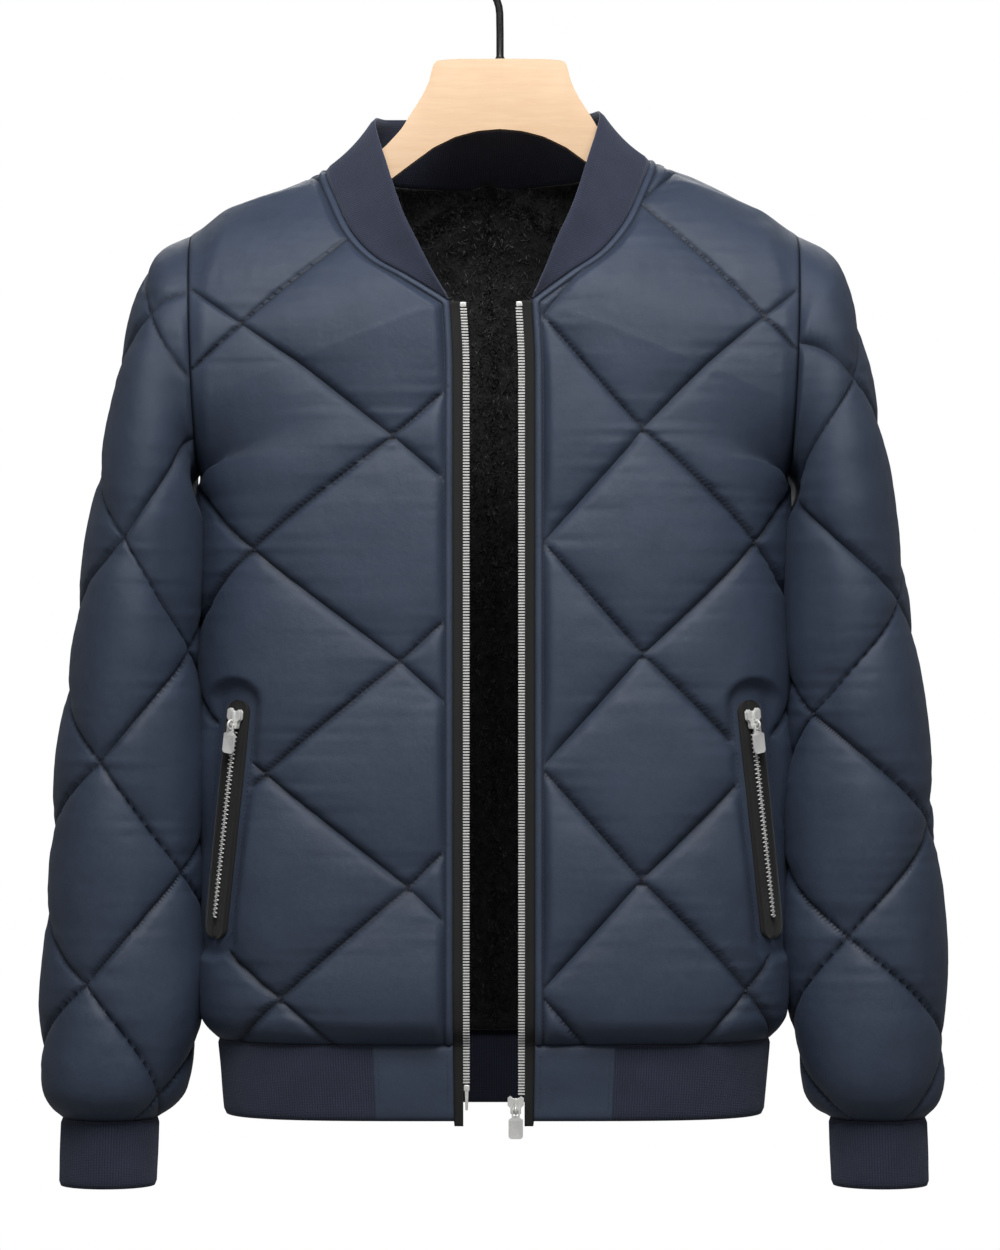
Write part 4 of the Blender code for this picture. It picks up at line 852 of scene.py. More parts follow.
@dataclass
class QuiltedPanel:
    """A front, or one half of the back, as a fine wall of quilted cloth."""

    facing: Facing
    side: Side
    columns: Columns
    row_step: float = 0.0030         # share of the height
    fine_row_step: float = 0.0019    # above the front zip, where the section is shorter
    column_count: int = 74
    edge_columns: tuple[float, ...] = (0.0, 0.8, 2.4, 4.0, 5.0, 5.8, 6.6, 7.8, 9.8)
    length: float = 690.0            # of the cloth, from the hem to the shoulder
    shoulder_length: float = 520.0   # that a whole share of the height stands for at the shoulder
    fold_strip: float = 5.8          # from the edge to the topstitching, millimetres
    strip_height: float = 1.0        # how far the folded strip rolls up
    seam_dip: float = 1.1            # how far the wall is pulled in at its seams
    side_bulge: float = 4.6          # how far the cloth beside a sleeve bulges towards it
    seed: int = 11

    def grid(self) -> tuple[Array, Array, Array]:
        """u and v of the grid's points before they follow the stitching, and each row's length."""
        corner = V_ZIP if self.facing is Facing.FRONT else V_NAPE
        low = np.linspace(0.0, corner, int(corner / self.row_step) + 1)
        high = np.linspace(corner, 1.0, int((1 - corner) / self.fine_row_step) + 1)
        v = np.concatenate((low, high[1:]))
        us, lengths = Body.girth(v, self.facing)
        edge = np.array(self.edge_columns)
        share = np.linspace(0.0, 1.0, self.column_count)[1:]
        place = np.stack([np.concatenate((edge, edge[-1] + (row[-1] - edge[-1]) * share))
                          for row in lengths])
        u = np.stack([np.interp(place[j], lengths[j], us) for j in range(len(v))])
        return u, np.broadcast_to(v[:, None], u.shape).copy(), lengths

    def families(self, u: Array, v: Array, lengths: Array) -> tuple[tuple[Array, Array], Array]:
        """Numbers of the stitched lines, and the distance in millimetres from the inner edge."""
        us = np.linspace(0.0, 1.0, lengths.shape[1])
        run = np.stack([np.interp(u[j], us, lengths[j]) for j in range(len(u))])
        across = run + Body.inner_edge(v[:, 0], self.facing)[:, :1]
        z = Body.point(u, v, self.facing)[..., 2]
        return QUILTING.lattice(across, z, self.columns), run

    def normals(self, u: Array, v: Array) -> Array:
        """Directions out of the wall; towards each seam they lean as the neighbour's do."""
        facing = self.facing
        hint = np.stack([0.4 * u, np.full_like(u, facing.value), np.where(v > 0.9, 0.6, 0.0)], axis=-1)
        normal = skin_normal(lambda a, b: Body.point(a, b, facing), u, v, hint)
        slope = unit(np.array((SHOULDER_POINT.z - TIP[2], 0.0, TIP[0] - SHOULDER_POINT.x)))
        angle = math.pi * (1 - (v - V_PIT) / (1 - V_PIT))
        radial = np.stack([np.zeros_like(v), facing.value * np.sin(angle), np.cos(angle)], axis=-1)
        droop = ease(0.60, V_PIT, v)
        sideways = unit(np.stack([1.0 - droop, 0 * v, -droop], axis=-1))
        near_pit = ease(0.70, 1.0, u) * ease(0.57, V_PIT, v) * (1 - ease(0.72, 0.85, v))
        at_side = np.where(v < V_PIT, np.maximum(ease(0.955, 1.0, u), near_pit),
                           np.maximum(ease(0.93, 1.0, u), near_pit))
        toward = np.where((v < V_PIT)[..., None], sideways, radial)
        normal = unit(normal + (toward - normal) * at_side[..., None])
        top = ease(0.982, 1.0, v)[..., None]
        normal = unit(normal + (slope - normal) * top)
        corner = V_ZIP if facing is Facing.FRONT else V_NAPE
        collar = Neckline.sewn_normal(np.clip(Neckline.share(v, facing), 0.0, 1.0))
        at_neck = ((1 - ease(0.0, 0.10, u)) * (v >= corner - 1e-6))[..., None]
        normal = unit(normal + (collar - normal) * at_neck)
        if facing is Facing.BACK:
            middle = (u < 1e-6) & (v <= V_NAPE + 1e-9)
            normal[..., 0] = np.where(middle, 0.0, normal[..., 0])
        normal[..., 2] = np.where(v < 1e-6, 0.0, normal[..., 2])
        return unit(normal)

    def wall(self, stitching: Stitching) -> Wall:
        """Build the panel's grids and give its lines of thread to the stitching."""
        facing, front = self.facing, self.facing is Facing.FRONT
        u, v, lengths = self.grid()
        families, _ = self.families(u, v, lengths)
        u, creased = follow_lines(u, families, QUILTING.beside / lengths[:, -1])
        families, run = self.families(u, v, lengths)
        base = Body.point(u, v, facing)
        normal = self.normals(u, v)
        corner = V_ZIP if front else V_NAPE
        folded = np.full(v.shape, True) if front else v > corner
        span = lengths[:, -1:]
        to_side = span - run
        from_hem = v * (ZIP_TOP_Z - HEM_SEAM_Z) / V_ZIP
        to_shoulder = (1 - v) * self.shoulder_length
        strip = self.fold_strip
        head = 14.0 + 22.0 * ease(0.84, 0.97, v)
        fade = ease(0.0, 0.03, v) * ease(0.0, 0.03, 1 - v) * ease(0.0, 1.0, to_side / head)
        fade = fade * np.where(folded, ease(strip, strip + 6.0, run), 1.0)
        bed = ease(*POCKET.clear, POCKET.beside(base)) if front else np.ones_like(v)
        sewn = (fade > 0.02) & (bed > 0.35)
        look = Crumples(self.seed, 0.9, (70.0, 27.0), 95.0, 0.6)
        lift = QUILTING.lift(families, mirrored(base, self.side.value), fade, bed, look)
        lift += self.side_bulge * ease(0.80, 1.0, u) * ease(0.03, 0.14, v) * ease(0.618, 0.585, v)
        bulge = np.sin(np.pi * np.clip(run / strip, 0.0, 1.0))
        sewn_down = np.exp(-((run - strip) / 0.9) ** 2)
        lift += np.where(folded, self.strip_height * bulge - sewn_down, 0.0)
        lift -= np.where(folded, 1.0 * np.exp(-(run / 0.7) ** 2), 0.0)
        flat = np.stack([run, 0 * run, 0 * run], axis=-1)
        fine = Noise(self.seed + 5)
        gather = fine.at(flat + 90.0, 8.5) + 0.5 * fine.at(flat + 300.0, 17.0)
        lift += 0.9 * gather * np.exp(-from_hem / 13.0) * ease(0.0, 4.0, from_hem) * fade.clip(0.35)
        for distance in (from_hem, to_side, to_shoulder):
            lift -= self.seam_dip * np.exp(-distance / 1.6)
        outer = base + normal * np.maximum(lift, 1.0)[..., None]
        inner = base.copy()
        at_side = (u > 1 - 1e-9) & (v < V_PIT + 1e-6)
        for skin in (inner, outer):
            skin[..., 2] += np.where(v < 1e-9, SEAM_GAP / 2, 0.0)
            skin[..., 1] += np.where((v > 1 - 1e-9) | at_side, facing.value * SEAM_GAP / 2, 0.0)
        if not front:
            middle = (u < 1e-9) & (v <= V_NAPE + 1e-9)
            for skin in (inner, outer):
                skin[..., 0] = np.where(middle, 0.0, skin[..., 0])
        outer, inner = HANG.both(outer, inner, self.side.value)
        out = unit(outer - inner)
        for line, ways in line_rows(families, outer, out, sewn):
            stitching.add(line, ways)
        topstitch = self.edge_columns.index(strip)
        rows = folded[:, 0] & (v[:, 0] < 0.995) & (v[:, 0] > 0.004)
        stitching.add(outer[rows, topstitch], out[rows, topstitch])
        uv = np.stack([run, np.broadcast_to(v * self.length, run.shape)], axis=-1) * MM
        # Painted shade for the sewn attribute: the colour darkens in stitched lines, at the hem, side and
        # shoulder seams, and along the front edge's topstitching.
        dark = QUILTING.sewn(families) * sewn
        for distance in (from_hem, to_side, to_shoulder):
            dark = np.maximum(dark, 0.8 * np.exp(-distance / 1.3))
        dark = np.maximum(dark, np.where(folded, 0.8 * np.exp(-((run - strip) / 0.8) ** 2), 0.0))
        open_rows = 0 if front else int(np.sum(v[:, 0] <= V_NAPE + 1e-9))
        return Wall(outer, inner, creased, uv, open_rows=open_rows, sewn=dark)


@dataclass
class QuiltedSleeve:
    """A sleeve as a fine closed wall of quilted cloth."""

    side: Side
    columns: Columns
    row_count: int = 262
    column_count: int = 176
    seam_bearing: float = -60.0      # of the seam along the sleeve's back, degrees
    length: float = 640.0            # from the armhole to the cuff
    seam_dip: float = 1.1
    lean_in: float = 6.2             # how far the cloth beside the body bulges towards it
    seed: int = 31

    def wall(self, stitching: Stitching) -> Wall:
        """Build the sleeve's grids and give its lines of thread to the stitching."""
        bearings = np.linspace(self.seam_bearing, self.seam_bearing + 360.0, self.column_count + 1)
        angle, t = np.meshgrid(bearings, np.linspace(0.0, 1.0, self.row_count))

        def families(angle: Array) -> tuple[Array, Array]:
            """Numbers of the stitched lines at bearings of the grid."""
            z = Sleeve.point(np.radians(angle), t)[..., 2]
            return QUILTING.lattice(angle, z, self.columns, turn=360.0)

        girth = np.linalg.norm(np.diff(Sleeve.point(np.radians(angle), t), axis=1), axis=-1).sum(axis=1)
        angle, creased = follow_lines(angle, families(angle), QUILTING.beside * 360.0 / girth)
        lines = families(angle)
        bearing = np.radians(angle)
        base = Sleeve.point(bearing, t)
        away, ahead = np.cos(bearing), np.sin(bearing)
        hint = np.stack([away, -ahead, np.where(t < 0.1, away, 0.0)], axis=-1)
        normal = skin_normal(Sleeve.point, bearing + 2 * math.pi, t, hint)
        radial = np.stack([0 * t, -ahead, away], axis=-1)
        normal = unit(radial + (normal - radial) * ease(0.0, 0.035, t)[..., None])
        level = ease(0.985, 1.0, t)[..., None]
        normal = unit(normal * (1 - level) + unit(normal * np.array((1.0, 1.0, 0.0))) * level)
        inside = ease(0.75, 0.95, -away) * ease(0.10, 0.0, t - 0.06)
        crown = 0.016 + 0.05 * ease(0.1, 0.9, away)      # the quilting starts lower on the shoulder
        fade = ease(0.0, 1.0, t / crown) * ease(0.0, 0.03, 1 - t) * (1 - inside)
        look = Crumples(self.seed, 1.1, (65.0, 25.0), 90.0, 1.0)
        lift = QUILTING.lift(lines, mirrored(base, self.side.value), fade, np.ones_like(t), look)
        from_cuff, from_arm = (1 - t) * self.length, t * self.length
        lift += self.lean_in * ease(0.35, 0.95, -away) * ease(0.07, 0.17, t) * ease(0.97, 0.85, t)
        ring = np.stack([away * 34, ahead * 34, 0 * t], axis=-1)
        fine = Noise(self.seed + 5)
        gather = fine.at(ring + 60.0, 8.0) + 0.5 * fine.at(ring + 200.0, 15.0)
        lift += 1.3 * gather * np.exp(-from_cuff / 16.0) * ease(0.0, 5.0, from_cuff)
        for distance in (from_arm, from_cuff):
            lift -= self.seam_dip * np.exp(-distance / 1.8)
        seam = np.minimum(np.abs(angle - bearings[0]), np.abs(angle - bearings[-1]))
        seam = seam * girth[:, None] / 360.0
        lift -= self.seam_dip * np.exp(-seam / 1.8)
        outer = base + normal * np.maximum(lift, 1.0)[..., None]
        inner = base.copy()
        for skin in (inner, outer):
            skin[..., 0] += np.where(t < 1e-9, SEAM_GAP, 0.0)
            skin[..., 2] += np.where(t > 1 - 1e-9, SEAM_GAP / 2, 0.0)
        outer[:, -1], inner[:, -1] = outer[:, 0], inner[:, 0]
        outer, inner = HANG.both(outer, inner, self.side.value)
        out = unit(outer - inner)
        for line, ways in line_rows(lines, outer, out, fade > 0.02):
            stitching.add(line, ways)
        uv = np.stack([angle / 360.0 * girth[:, None], t * self.length], axis=-1) * MM
        # Painted shade for the sewn attribute: the colour darkens in stitched lines and at the armhole,
        # cuff and back seams.
        dark = QUILTING.sewn(lines) * (fade > 0.02)
        for distance in (from_arm, from_cuff, seam):
            dark = np.maximum(dark, 0.8 * np.exp(-distance / 1.3))
        return Wall(outer, inner, creased, uv, closed=True, sewn=dark)


# ---------------------------------------------------------------- rib knit, hem blocks and lining

@dataclass(frozen=True)
class RibKnit:
    """Rib knit fabric: how far apart its ribs are and how far they stand up."""

    pitch: float = 1.85
    points: int = 4                  # columns of points a rib
    height: float = 0.42

    def columns(self, length: float) -> int:
        """How many spaces between points a length of knit takes, a whole number of ribs."""
        return max(1, round(length / self.pitch)) * self.points

    def relief(self, count: int) -> Array:
        """Height of the ribs at each of count + 1 points."""
        phase = np.arange(count + 1) / self.points
        return self.height * np.abs(np.sin(np.pi * phase)) ** 0.8

    def skins(self, base: Array, normal: Array, relief: Array, wave: Array, drop: float, height: float,
              wall: float = RIB_WALL, roll: float = 1.0) -> tuple[Array, Array]:
        """One row of a doubled band's outer and inner skin.

        Args:
            base: the row's points on the inner skin.
            normal: directions out of the band.
            relief: height of the ribs at each point.
            wave: the cloth's unevenness there.
            drop: 0 at the seam, 1 at the folded edge.
            height: of the band.
            wall: its thickness.
            roll: how far its edges are rounded.

        Returns:
            The points of both skins.
        """
        from_edge = min(drop, 1 - drop) * height
        dip_in = roll * math.exp(-from_edge / 1.1)
        ribs = relief * (1 - math.exp(-from_edge / 1.4))
        return (base + normal * (wall + wave + ribs - dip_in),
                base + normal * (wave * 0.5 - ribs * 0.8 + dip_in * (drop > 0.5)))

    def grooves(self, relief: Array, rows: int) -> Array:
        """Painted shade between ribs: how deep between them each point of a knit's grid lies; a plain
        cloth has none.
        """
        depth = 0.8 * (1 - relief / self.height) * (relief.max() > 0)
        return np.broadcast_to(depth, (rows, len(depth))).copy()


RIB = RibKnit()


def spaced(line: Callable[[Array], Array], count: int) -> Array:
    """Parameters from 0 to 1 at equal steps along a curve.

    Args:
        line: gives points of the curve.
        count: how many steps.

    Returns:
        count + 1 parameters.
    """
    fine = np.linspace(0.0, 1.0, 1601)
    run = np.concatenate(((0.0,), np.cumsum(np.linalg.norm(np.diff(line(fine), axis=0), axis=1))))
    return np.interp(np.linspace(0.0, run[-1], count + 1), run, fine)


def length_of(line: Array) -> float:
    """Length of a line of points."""
    return float(np.linalg.norm(np.diff(line, axis=0), axis=1).sum())


@dataclass
class Collar:
    """The stand-up collar of rib knit, a band from one end of the zip round to the other."""

    rows: int = 13
    height: float = 34.0
    dip: float = 3.0                 # how far its middle curves in towards the neck
    gap: float = 0.45                # clearance along the neck seam
    edge_roll: float = 0.9           # how far the knit's folded edge is rounded

    def wall(self) -> Wall:
        """Build both ribbed skins of the band."""
        half = RIB.columns(length_of(Neckline.seam(np.linspace(0.0, 1.0, 400))))
        t_half = spaced(Neckline.seam, half)
        t = np.concatenate((t_half, t_half[::-1][1:]))
        side = np.concatenate((-np.ones(half), np.ones(half + 1)))
        side[half] = 1.0
        seam, edge = Neckline.seam(t), Neckline.edge(t)
        sewn, free = Neckline.sewn_normal(t), Neckline.outward(t)
        free[half, 0] = sewn[half, 0] = 0.0
        rise = unit(edge - seam)
        sides = np.stack([side, 1 + 0 * t, 1 + 0 * t], axis=-1)
        tangent = np.gradient(seam * sides, axis=0) * sides
        off_seam = unit(np.cross(sewn, tangent))
        off_seam = off_seam * np.sign(np.sum(off_seam * rise, axis=-1, keepdims=True))
        seam = seam + off_seam * self.gap
        relief = RIB.relief(2 * half)[:, None]
        noise = Noise(71)
        inner, outer = [], []
        for share in np.linspace(0.0, 1.0, self.rows):
            arch = self.dip * 4 * share * (1 - share) * ease(0.0, 0.25, t)
            skin = seam + (edge - seam) * share - free * arch[:, None]
            normal = unit(sewn + (free - sewn) * share)
            wave = 0.5 * noise.at(skin * sides, 30.0)[:, None] * math.sin(math.pi * share)
            ends = min(share, 1 - share) * self.height
            dip_in = self.edge_roll * math.exp(-ends / 0.9)
            ribs = relief * (1 - math.exp(-ends / 1.2))
            outer.append((skin + normal * (RIB_WALL + wave + ribs - dip_in)) * sides)
            inner.append((skin + normal * (wave - ribs + dip_in * (share > 0.5))) * sides)
        outer, inner = HANG.both(np.array(outer), np.array(inner))
        run = np.linspace(0.0, 2 * half / RIB.points * RIB.pitch, 2 * half + 1)
        uv = np.stack(np.meshgrid(run, np.linspace(0.0, self.height, self.rows)), axis=-1) * MM
        return Wall(outer, inner, np.zeros(outer.shape[:2], bool), uv, inner_step=1,
                    sewn=RIB.grooves(relief[:, 0], self.rows))


@dataclass
class HemBand:
    """The doubled band round the hem: rib knit, with a plain shell block at each front edge."""

    taper: tuple[float, float, float] = (0.975, 0.95, 1.0)
    block_edge_x: float = 86.0       # centre front to the seam between block and rib
    rows: int = 16

    def section(self, share: Array, first: float) -> Array:
        """Left half of the hem's line, from a front's share u onwards round to the back."""
        front = Body.point(np.linspace(first, 1.0, 200), np.zeros(200), Facing.FRONT)
        back = Body.point(np.linspace(1.0, 0.0, 260)[1:], np.zeros(259), Facing.BACK)
        whole = np.concatenate((front, back))
        run = np.concatenate(((0.0,), np.cumsum(np.linalg.norm(np.diff(whole, axis=0), axis=1))))
        return np.stack([np.interp(share * run[-1], run, whole[:, k]) for k in range(3)], axis=1)

    def front_share(self, x: float) -> float:
        """Where a front's hem reaches a distance from the middle line."""
        us = np.linspace(0.0, 1.0, 401)
        return float(np.interp(x, Body.point(us, 0 * us, Facing.FRONT)[:, 0], us))

    def band(self, top: Array, relief: Array, roughness: float) -> Wall:
        """Wall below a line of points, which tapers a little to its folded lower edge.

        Args:
            top: the line, in the garment's own frame.
            relief: height of the knit's ribs at each point.
            roughness: height of the cloth's unevenness.

        Returns:
            The wall, hung.
        """
        run = np.gradient(top, axis=0)
        normal = unit(np.cross(run, np.array((0.0, 0.0, 1.0))))
        outward = np.sum(normal * top * np.array((1.0, 1.0, 0.0)), axis=-1, keepdims=True) < 0
        normal = np.where(outward, -normal, normal)
        noise = Noise(83)
        height = HEM_SEAM_Z - HEM_BOTTOM_Z
        skins = []
        for drop in np.linspace(0.0, 1.0, self.rows):
            level = top * (1 + (np.array(self.taper) - 1) * drop)
            level[:, 2] = HEM_SEAM_Z - SEAM_GAP / 2 - height * drop
            wave = roughness * noise.at(level, 34.0)[:, None] * math.sin(math.pi * drop)
            skins.append(RIB.skins(level, normal, relief[:, None], wave, drop, height))
        outer, inner = HANG.both(*np.array(skins).swapaxes(0, 1))
        length = np.concatenate(((0.0,), np.cumsum(np.linalg.norm(np.diff(top, axis=0), axis=1))))
        uv = np.stack(np.meshgrid(length, np.linspace(0.0, height, self.rows)), axis=-1) * MM
        return Wall(outer, inner, np.zeros(outer.shape[:2], bool), uv, inner_step=2,
                    sewn=RIB.grooves(relief, self.rows))

    def rib_wall(self) -> Wall:
        """The rib knit from one block round the back to the other."""
        first = self.front_share(self.block_edge_x + 0.05)
        half = self.section(np.linspace(0.0, 1.0, 800), first)
        count = RIB.columns(length_of(half))
        left = self.section(np.linspace(0.0, 1.0, count + 1), first)
        line = np.concatenate((mirrored(left, -1.0), left[::-1][1:]))
        return self.band(line, RIB.relief(2 * count), 0.5)

    def block_wall(self, side: Side, stitching: Stitching) -> Wall:
        """The plain block at a front edge, with its row of stitching beside the seam."""
        share = self.front_share(self.block_edge_x)
        top = Body.point(np.linspace(0.0, share, 30), np.zeros(30), Facing.FRONT)
        wall = self.band(mirrored(top, side.value), np.zeros(30), 0.8)
        out = unit(wall.outer - wall.inner)
        for column in (27, 2):
            stitching.add(wall.outer[1:-1, column], out[1:-1, column])
        return wall


@dataclass
class Cuff:
    """A tubular cuff of rib knit."""

    rows: int = 16
    height: float = 48.0
    thick: float = 2.8
    roll: float = 0.9                # how far the folded lower edge is rounded

    def wall(self, side: Side) -> Wall:
        """Build both skins of the tube."""
        end = CUFF_BOTTOM

        def mouth(share: Array) -> Array:
            """The sleeve's end as a closed curve."""
            return Sleeve.point(2 * math.pi * share, np.ones_like(share))

        count = RIB.columns(length_of(mouth(np.linspace(0.0, 1.0, 400))))
        angles = 2 * math.pi * spaced(mouth, count)
        top = Sleeve.point(angles, np.ones_like(angles))
        c, s = np.cos(angles), np.sin(angles)
        low = np.stack([(end.out_x + end.in_x) / 2 + (end.out_x - end.in_x) / 2 * c,
                        -np.where(s > 0, end.fore, end.aft) * s, end.out_z + 0 * s], axis=-1)
        normal = unit(np.stack([c * end.fore, -s * (end.out_x - end.in_x) / 2, 0 * s], axis=-1))
        top[:, 2] -= SEAM_GAP / 2
        relief, noise = RIB.relief(count)[:, None], Noise(97)
        skins = []
        for drop in np.linspace(0.0, 1.0, self.rows):
            skin = top + (low - top) * drop
            wave = 0.6 * noise.at(skin, 26.0)[:, None] * math.sin(math.pi * drop)
            skins.append(RIB.skins(skin, normal, relief, wave, drop, self.height, self.thick, self.roll))
        outer, inner = HANG.both(*np.array(skins).swapaxes(0, 1), side.value)
        run = np.arange(count + 1) / RIB.points * RIB.pitch
        uv = np.stack(np.meshgrid(run, np.linspace(0.0, self.height, self.rows)), axis=-1) * MM
        return Wall(outer, inner, np.zeros(outer.shape[:2], bool), uv, closed=True, inner_step=2,
                    sewn=RIB.grooves(relief[:, 0], self.rows))


@dataclass
class PileLining:
    """Black pile over the inside of the back, with its nap as short blades."""

    gap: float = 2.6                 # from the back's inner skin
    pile: float = 4.0
    reach: float = 0.74              # share of the back's half width
    top: float = 0.98
    top_edge: float = 0.03           # it stops this share of a row short of the neck seam
    below: float = 1.8               # how far it hangs below the hem's seam
    above_seam: float = 5.0          # how far it stands up in front of the neck seam
    edge_share: float = 0.10         # share of the blades that grow from its upper edge
    blades: int = 42000
    blade_length: float = 5.2
    blade_width: float = 0.55

    def half(self, sign: float) -> tuple[Wall, Array]:
        """One half of the pile's wall and its points' distance from the wearer's middle line."""
        rows = np.concatenate((np.linspace(0.0, V_NAPE, 190), np.linspace(V_NAPE, self.top, 36)[1:]))
        u, v = np.meshgrid(np.linspace(0.0, self.reach, 58), rows)
        above = v > V_NAPE + 1e-9
        u = np.where(above, self.top_edge + u * (1 - self.top_edge / self.reach), u)
        skin = Body.point(u, np.where(above, v - 0.006, v), Facing.BACK)
        normal = skin_normal(lambda a, b: Body.point(a, b, Facing.BACK), u, v, np.array((0.0, 1.0, 0.0)))
        normal[..., 0] = np.where(u < 1e-6, 0.0, normal[..., 0])
        normal = unit(normal)
        noise = Noise(53)
        place = mirrored(skin, sign)
        clump = 0.9 * noise.at(place, 9.0) + 0.7 * noise.at(place, 4.2) + 0.6 * noise.at(place, 22.0)
        skin[0, :, 2] -= self.below      # it hides the seam between back and hem
        skin[..., 2] += self.above_seam * ease(V_NAPE - 0.03, V_NAPE, v) * ease(0.5, 0.2, u)
        near = skin - normal * self.gap
        far = skin - normal * (self.gap + self.pile - 0.6 + clump)[..., None]
        uv = np.stack([u * 210.0, v * 610.0], axis=-1) * MM
        rows_open = int(np.sum(rows <= V_NAPE + 1e-9))
        outer, inner = HANG.both(far, near, sign)
        none = np.zeros(u.shape, bool)
        return Wall(outer, inner, none, uv, open_rows=rows_open, inner_step=6), normal

    def build(self, material: bpy.types.Material) -> bpy.types.Object:
        """The lining's sheet of pile."""
        cloth = ClothMesh()
        for sign in (1.0, -1.0):
            cloth.wall(self.half(sign)[0])
        return cloth.build("lining_back_pile", material)

    def nap(self, material: bpy.types.Material) -> bpy.types.Object:
        """Short curved blades that stand out of the pile, lying mostly downwards."""
        random = np.random.default_rng(5)
        halves = [self.half(sign)[0] for sign in (1.0, -1.0)]
        points, faces = [], []
        for wall in halves:
            rows, columns = wall.outer.shape[:2]
            count = self.blades // 2
            column_share = random.random(count) ** 1.7
            row = random.random(count) * (rows - 1.001)
            nape = wall.open_rows - 1.0
            at_edge = random.random(count) < self.edge_share
            row = np.where(at_edge, nape - 3.0 * random.random(count) ** 2, row)
            column_share = np.where(at_edge, random.random(count) * 0.3, column_share)
            column = column_share * (columns - 1.001)
            i, j = row.astype(int), column.astype(int)
            fi, fj = (row - i)[:, None], (column - j)[:, None]
            grid = wall.outer
            root = ((grid[i, j] * (1 - fj) + grid[i, j + 1] * fj) * (1 - fi)
                    + (grid[i + 1, j] * (1 - fj) + grid[i + 1, j + 1] * fj) * fi)
            out = unit(grid[i, j] - wall.inner[i, j])
            lean = random.normal(0.0, 0.75, (count, 3)) + np.array((0.0, 0.0, -0.5))
            lean[:, 2] += 0.9 * at_edge
            way = unit(out * 0.62 + lean * np.array((1.0, 0.35, 1.0)))
            side = unit(np.cross(way, random.normal(0.0, 1.0, (count, 3))))
            length = self.blade_length * (0.55 + 0.6 * random.random((count, 1)))
            middle = root + way * length * 0.55 + side * 0.2
            tip = root + way * length * 0.9 + out * -0.6 + lean * 0.5
            half = side * self.blade_width / 2
            first = sum(len(group) for group in points)
            points.append(np.stack([root - half, root + half, middle - half * 0.8, middle + half * 0.8,
                                    tip], axis=1).reshape(-1, 3))
            start = first + 5 * np.arange(count)[:, None]
            faces += (start + np.array((0, 1, 3, 2))).tolist() + (start + np.array((2, 3, 4))).tolist()
        return Bench.finish(mesh_object("lining_back_nap", np.concatenate(points) * MM, faces), material)


# ---------------------------------------------------------------- modelling with Blender's operators

class Bench:
    """Modelling of hard pieces with Blender's own operators."""

    @staticmethod
    def only(item: bpy.types.Object) -> bpy.types.Object:
        """Select one object alone and make it the active one."""
        bpy.ops.object.select_all(action="DESELECT")
        item.select_set(True)
        bpy.context.view_layer.objects.active = item
        return item

    @classmethod
    def block(cls, name: str, size: Sequence[float], middle: Sequence[float]) -> bpy.types.Object:
        """A box of a size round a middle point, in millimetres, ready to be shaped."""
        bpy.ops.object.select_all(action="DESELECT")
        bpy.ops.mesh.primitive_cube_add(size=1.0, location=[value * MM for value in middle])
        item = bpy.context.object
        item.name = item.data.name = name
        item.scale = [value * MM for value in size]
        bpy.ops.object.transform_apply(location=True, rotation=True, scale=True)
        return item

    @classmethod
    def select(cls, item: bpy.types.Object, part: str, test: Callable[[Vector], bool]) -> None:
        """Select an edited object's vertices, edges or faces whose middle, in millimetres, passes."""
        made = bmesh.from_edit_mesh(item.data)
        for group in (made.verts, made.edges, made.faces):
            for element in group:
                element.select = False
        middles = {"verts": lambda item: item.co, "faces": lambda item: item.calc_center_median(),
                   "edges": lambda item: (item.verts[0].co + item.verts[1].co) / 2}
        for element in getattr(made, part):
            if test(middles[part](element) / MM):
                element.select_set(True)
        made.select_flush(True)
        bmesh.update_edit_mesh(item.data)

    @classmethod
    def edit(cls, item: bpy.types.Object, part: str = "VERT") -> None:
        """Enter edit mode on one object, choosing vertices, edges or faces."""
        cls.only(item)
        bpy.ops.object.mode_set(mode="EDIT")
        bpy.ops.mesh.select_mode(type=part)

    @staticmethod
    def done() -> None:
        """Leave edit mode."""
        bpy.ops.object.mode_set(mode="OBJECT")

    @classmethod
    def soften(cls, item: bpy.types.Object, width: float, segments: int = 2, angle: float = 30.0) -> None:
        """Round an object's edges by a width in millimetres."""
        cls.only(item)
        bevel = item.modifiers.new("soften", "BEVEL")
        bevel.width = width * MM
        bevel.segments = segments
        bevel.limit_method = "ANGLE"
        bevel.angle_limit = math.radians(angle)
        bpy.ops.object.modifier_apply(modifier=bevel.name)
        bpy.ops.object.shade_smooth_by_angle(angle=math.radians(38.0))

    @classmethod
    def join(cls, items: Sequence[bpy.types.Object], name: str) -> bpy.types.Object:
        """Join objects into the first and rename it."""
        cls.only(items[0])
        for item in items[1:]:
            item.select_set(True)
        bpy.ops.object.join()
        items[0].name = items[0].data.name = name
        return items[0]

    @classmethod
    def finish(cls, item: bpy.types.Object, material: bpy.types.Material) -> bpy.types.Object:
        """Give a piece its one finish."""
        item.data.materials.clear()
        item.data.materials.append(material)
        return item

    @classmethod
    def repeated(cls, item: bpy.types.Object, places: Sequence[Matrix], name: str) -> bpy.types.Object:
        """One mesh with a copy of an object at each place; the object itself goes away."""
        base = np.array([vert.co for vert in item.data.vertices])
        faces = [tuple(face.vertices) for face in item.data.polygons]
        points = [base @ np.array(place.to_3x3()).T + np.array(place.translation) for place in places]
        all_faces = [tuple(i + k * len(base) for i in face) for k in range(len(places)) for face in faces]
        made = mesh_object(name, np.concatenate(points), all_faces)
        bpy.data.objects.remove(item)
        cls.only(made)
        bpy.ops.object.shade_smooth_by_angle(angle=math.radians(38.0))
        return made


